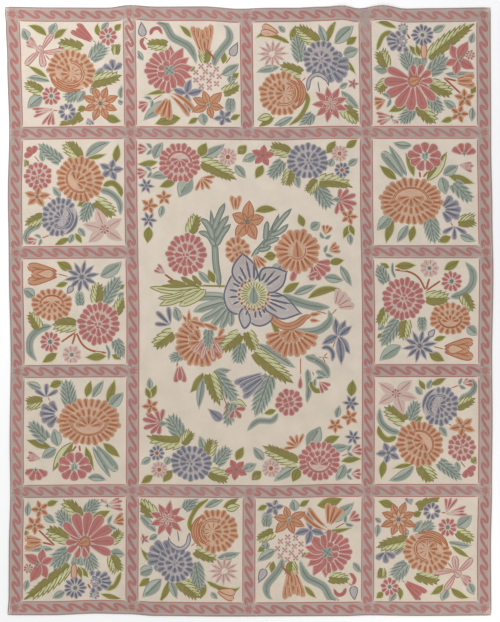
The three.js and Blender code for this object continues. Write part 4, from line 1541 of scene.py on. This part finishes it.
class RugSizes(bpy.types.PropertyGroup):
    """Sizes of the cloth and its stitches."""

    row: FloatProperty(
        name="Row", description="Width of one row of chain stitch",
        default=ROW * CM, min=1 * MM, unit="LENGTH",
    )
    crest: FloatProperty(
        name="Crest", description="How far a row stands out of the cloth",
        default=0.9 * MM, min=0.2 * MM, unit="LENGTH",
    )
    link: FloatProperty(
        name="Link", description="Length of one chain stitch",
        default=6 * MM, min=1 * MM, unit="LENGTH",
    )
    ground: FloatProperty(
        name="Ground", description="Height of the cream ground off the floor",
        default=4.2 * MM, min=1 * MM, unit="LENGTH",
    )


class RugWools(bpy.types.PropertyGroup):
    """Colours of the wools."""

    __annotations__ = {
        name: FloatVectorProperty(
            name=name.capitalize(), description=use, default=colour,
            size=3, min=0, max=1, subtype="COLOR_GAMMA",
        )
        for name, use, colour in WOOLS
    }


def deselect():
    """Clears the selection."""
    for thing in bpy.context.selected_objects:
        thing.select_set(False)


class RUG_OT_cloth(bpy.types.Operator):
    """Lays the cream cloth that carries the stitches"""

    bl_idname = "rug.cloth"
    bl_label = "Cloth"

    def execute(self, context):
        sizes = context.scene.rug_sizes
        deselect()
        bpy.ops.mesh.primitive_grid_add(x_subdivisions=150, y_subdivisions=190, size=1)
        piece = context.object
        piece.name = "ground_cloth"
        mesh = piece.data
        mesh.name = "ground_cloth"
        places = np.empty(len(mesh.vertices) * 3)
        mesh.vertices.foreach_get("co", places)
        places = places.reshape(-1, 3)
        x, y = settle(places[:, 0] * CLOTH_WIDTH, places[:, 1] * CLOTH_LENGTH)
        z = sizes.ground + lift(x, y) - hollow(x, y)
        mesh.vertices.foreach_set("co", np.stack([x, y, z], 1).ravel())
        while mesh.uv_layers:
            mesh.uv_layers.remove(mesh.uv_layers[0])
        corners = np.empty(len(mesh.loops), int)
        mesh.loops.foreach_get("vertex_index", corners)
        flat = np.stack([x, y], 1)
        flat = 0.01 + 0.93 * (flat - flat.min(0)) / (flat.max(0) - flat.min(0)).max()
        mesh.uv_layers.new(name="OFBake").data.foreach_set("uv", flat[corners].ravel())
        mesh.update()
        solidify = piece.modifiers.new("Backing", "SOLIDIFY")
        solidify.thickness = sizes.ground
        solidify.offset = -1
        bpy.ops.object.modifier_apply(modifier=solidify.name)
        for vertex in mesh.vertices:
            vertex.co.z = max(vertex.co.z, 0)
        tuck_under(mesh)
        bpy.ops.object.shade_smooth_by_angle(angle=math.radians(50))
        mesh.materials.append(ground_material())
        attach(piece, "root")
        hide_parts("rug")
        return {"FINISHED"}


def tuck_under(mesh):
    """Moves the underside's and rim's places on the bake map off those of the face."""
    uv = mesh.uv_layers["OFBake"].data
    for polygon in mesh.polygons:
        if polygon.normal.z > 0.3:
            continue
        for corner in polygon.loop_indices:
            place = uv[corner].uv
            uv[corner].uv = (0.80 + 0.19 * place[0], 0.02 + 0.19 * place[1])


class RUG_OT_bands(bpy.types.Operator):
    """Sews the bands between the panels: scrolls, rosettes, rims and mauve ground"""

    bl_idname = "rug.bands"
    bl_label = "Bands"

    def execute(self, context):
        bed = Needle()
        for start, end in band_runs():
            path = start + (end - start) * np.linspace(-0.06, 1.06, 45)
            bed.pad(path, np.full(45, BAND_HALF * MM / CM), "mauve")
        kept = cut(band_rows(), CLOTH_WIDTH / 2 / CM + 2, CLOTH_LENGTH / 2 / CM + 2)
        scroll_rows = [row for row in kept if row[1] != "mauve"]
        ground_rows = [row for row in kept if row[1] == "mauve"]
        sew_down("band_scrolls", [Part(scroll_rows, [], 0, 0, False)])
        sew_down("band_ground", [Part(ground_rows, bed.beds, 0, 0, False)])
        return {"FINISHED"}


def panel_part(chart, column, line, half_turn=False):
    """A panel's rows, cut for its place in the lattice."""
    left, right = framed(column, COLUMNS)
    low, high = framed(line, LINES)
    sewn = embroider(chart)
    half_x = (right - left) / 2 * MM / CM - MARGIN
    half_y = (high - low) / 2 * MM / CM - MARGIN
    beds = []
    for path, half, *rest in sewn.beds:
        inside = (abs(path.real) + half < half_x + 0.6) & (abs(path.imag) + half < half_y + 0.6)
        if inside.sum() > 3:
            beds.append((path[inside], half[inside], *rest))
    return Part(cut(sewn.rows, half_x, half_y), beds, (left + right) / 2 * MM,
                (low + high) / 2 * MM, half_turn)


class RUG_OT_panels(bpy.types.Operator):
    """Sews the flowers of the fourteen panels"""

    bl_idname = "rug.panels"
    bl_label = "Panels"

    def execute(self, context):
        far = (PANEL_A, PANEL_B, PANEL_C, PANEL_D)
        sew_down("far_flowers", [panel_part(c, i, 0) for i, c in enumerate(far)])
        sew_down("near_flowers", [panel_part(c, 3 - i, 4, True) for i, c in enumerate(far)])
        sides = (PANEL_E, PANEL_F, PANEL_G)
        sew_down("left_flowers", [panel_part(c, 0, 1 + i) for i, c in enumerate(sides)])
        sew_down("right_flowers", [panel_part(c, 3, 3 - i, True) for i, c in enumerate(sides)])
        return {"FINISHED"}


class RUG_OT_field(bpy.types.Operator):
    """Sews the field: four corner sprays and the round bouquet"""

    bl_idname = "rug.field"
    bl_label = "Field"

    def execute(self, context):
        x = (COLUMNS[1] + COLUMNS[3]) / 2 * MM
        y = (LINES[1] + LINES[4]) / 2 * MM
        sprays = []
        for chart in (SPRAY_LEFT, SPRAY_RIGHT):
            sewn = embroider(chart)
            rows = cut(sewn.rows, *FIELD)
            sprays += [Part(rows, sewn.beds, x, y, turned) for turned in (False, True)]
        sew_down("corner_sprays", sprays)
        sewn = embroider(BOUQUET)
        sewn.level = math.floor(sewn.level) + 1
        sew_heart(sewn)
        sew_down("bouquet", [Part(cut(sewn.rows, *FIELD), sewn.beds, x, y, False)])
        return {"FINISHED"}


FLOOR_SIZE = 40
LENS = 85
CAMERA = (5.4 * MM, 0, 7.37)
Lamp = namedtuple("Lamp", "name spot size power colour")
LAMPS = (
    Lamp("Key", (-3.2, 3.4, 5.2), 4.5, 480, (1.0, 0.985, 0.96)),
    Lamp("Fill", (3.4, -3.6, 5.4), 5.0, 280, (1.0, 0.97, 0.93)),
)


def floor_material():
    """A plain pale floor with faint clouding."""
    material = bpy.data.materials.new("Pale floor")
    material.use_nodes = True
    tree = material.node_tree
    shader = tree.nodes["Principled BSDF"]
    shader.inputs["Roughness"].default_value = 0.8
    shader.inputs["Specular IOR Level"].default_value = 0.1
    place = tree.nodes.new("ShaderNodeTexCoord")
    cloud = new_node(tree, "TexNoise", Scale=0.7, Detail=2.0)
    ramp = tree.nodes.new("ShaderNodeValToRGB")
    ramp.color_ramp.elements[0].color = (0.90, 0.90, 0.90, 1)
    ramp.color_ramp.elements[1].color = (0.94, 0.94, 0.94, 1)
    link_sockets(tree, (
        (place.outputs["Object"], cloud.inputs["Vector"]),
        (cloud.outputs["Fac"], ramp.inputs[0]),
        (ramp.outputs[0], shader.inputs["Base Color"]),
    ))
    return material


def hang_lamp(lamp):
    """A large soft lamp that is turned to the middle of the rug."""
    light = bpy.data.lights.new(lamp.name, "AREA")
    light.size = lamp.size
    light.energy = lamp.power
    light.color = lamp.colour
    aim = -np.array(lamp.spot)
    shade = bpy.data.objects.new(lamp.name, light)
    shade.location = lamp.spot
    shade.rotation_euler = (
        math.acos(-aim[2] / np.linalg.norm(aim)), 0, math.atan2(aim[0], -aim[1]))
    bpy.context.scene.collection.objects.link(shade)


class RUG_OT_stage(bpy.types.Operator):
    """Sets the pale floor, the soft light and the camera straight above"""

    bl_idname = "rug.stage"
    bl_label = "Stage"

    def execute(self, context):
        deselect()
        bpy.ops.mesh.primitive_plane_add(size=FLOOR_SIZE)
        floor = context.object
        floor.name = "floor"
        floor.data.materials.append(floor_material())
        world = bpy.data.worlds.new("Soft room")
        world.use_nodes = True
        backdrop = world.node_tree.nodes["Background"]
        backdrop.inputs["Color"].default_value = (0.98, 0.99, 1.0, 1)
        backdrop.inputs["Strength"].default_value = 0.9
        context.scene.world = world
        for lamp in LAMPS:
            hang_lamp(lamp)
        camera = bpy.data.cameras.new("Camera")
        camera.lens = LENS
        view = bpy.data.objects.new("Camera", camera)
        view.location = CAMERA
        context.scene.collection.objects.link(view)
        context.scene.camera = view
        context.scene.view_settings.view_transform = "Standard"
        return {"FINISHED"}


class RUG_PT_panel(bpy.types.Panel):
    """Sizes, colours and steps of the rug"""

    bl_idname = "RUG_PT_panel"
    bl_label = "Chain stitch rug"
    bl_space_type = "VIEW_3D"
    bl_region_type = "UI"
    bl_category = "Rug"

    def draw(self, context):
        for name in RugSizes.__annotations__:
            self.layout.prop(context.scene.rug_sizes, name)
        for name in RugWools.__annotations__:
            self.layout.prop(context.scene.rug_wools, name)
        for step in STEPS:
            self.layout.operator(step.bl_idname)


STEPS = (RUG_OT_cloth, RUG_OT_bands, RUG_OT_panels, RUG_OT_field, RUG_OT_stage)
CLASSES = (RugSizes, RugWools, *STEPS, RUG_PT_panel)


def register():
    """Adds the classes and the scene's properties."""
    for entry in CLASSES:
        bpy.utils.register_class(entry)
    bpy.types.Scene.rug_sizes = PointerProperty(type=RugSizes)
    bpy.types.Scene.rug_wools = PointerProperty(type=RugWools)


def unregister():
    """Removes what register adds."""
    del bpy.types.Scene.rug_wools
    del bpy.types.Scene.rug_sizes
    for entry in reversed(CLASSES):
        bpy.utils.unregister_class(entry)


def main():
    """Builds the rug and its stage."""
    register()
    bpy.ops.rug.cloth()
    bpy.ops.rug.bands()
    bpy.ops.rug.panels()
    bpy.ops.rug.field()
    bpy.ops.rug.stage()
    sewn = [o for o in bpy.data.objects if o.type == "MESH" and o.data.color_attributes.get("wool")]


if __name__ == "__main__":
    main()
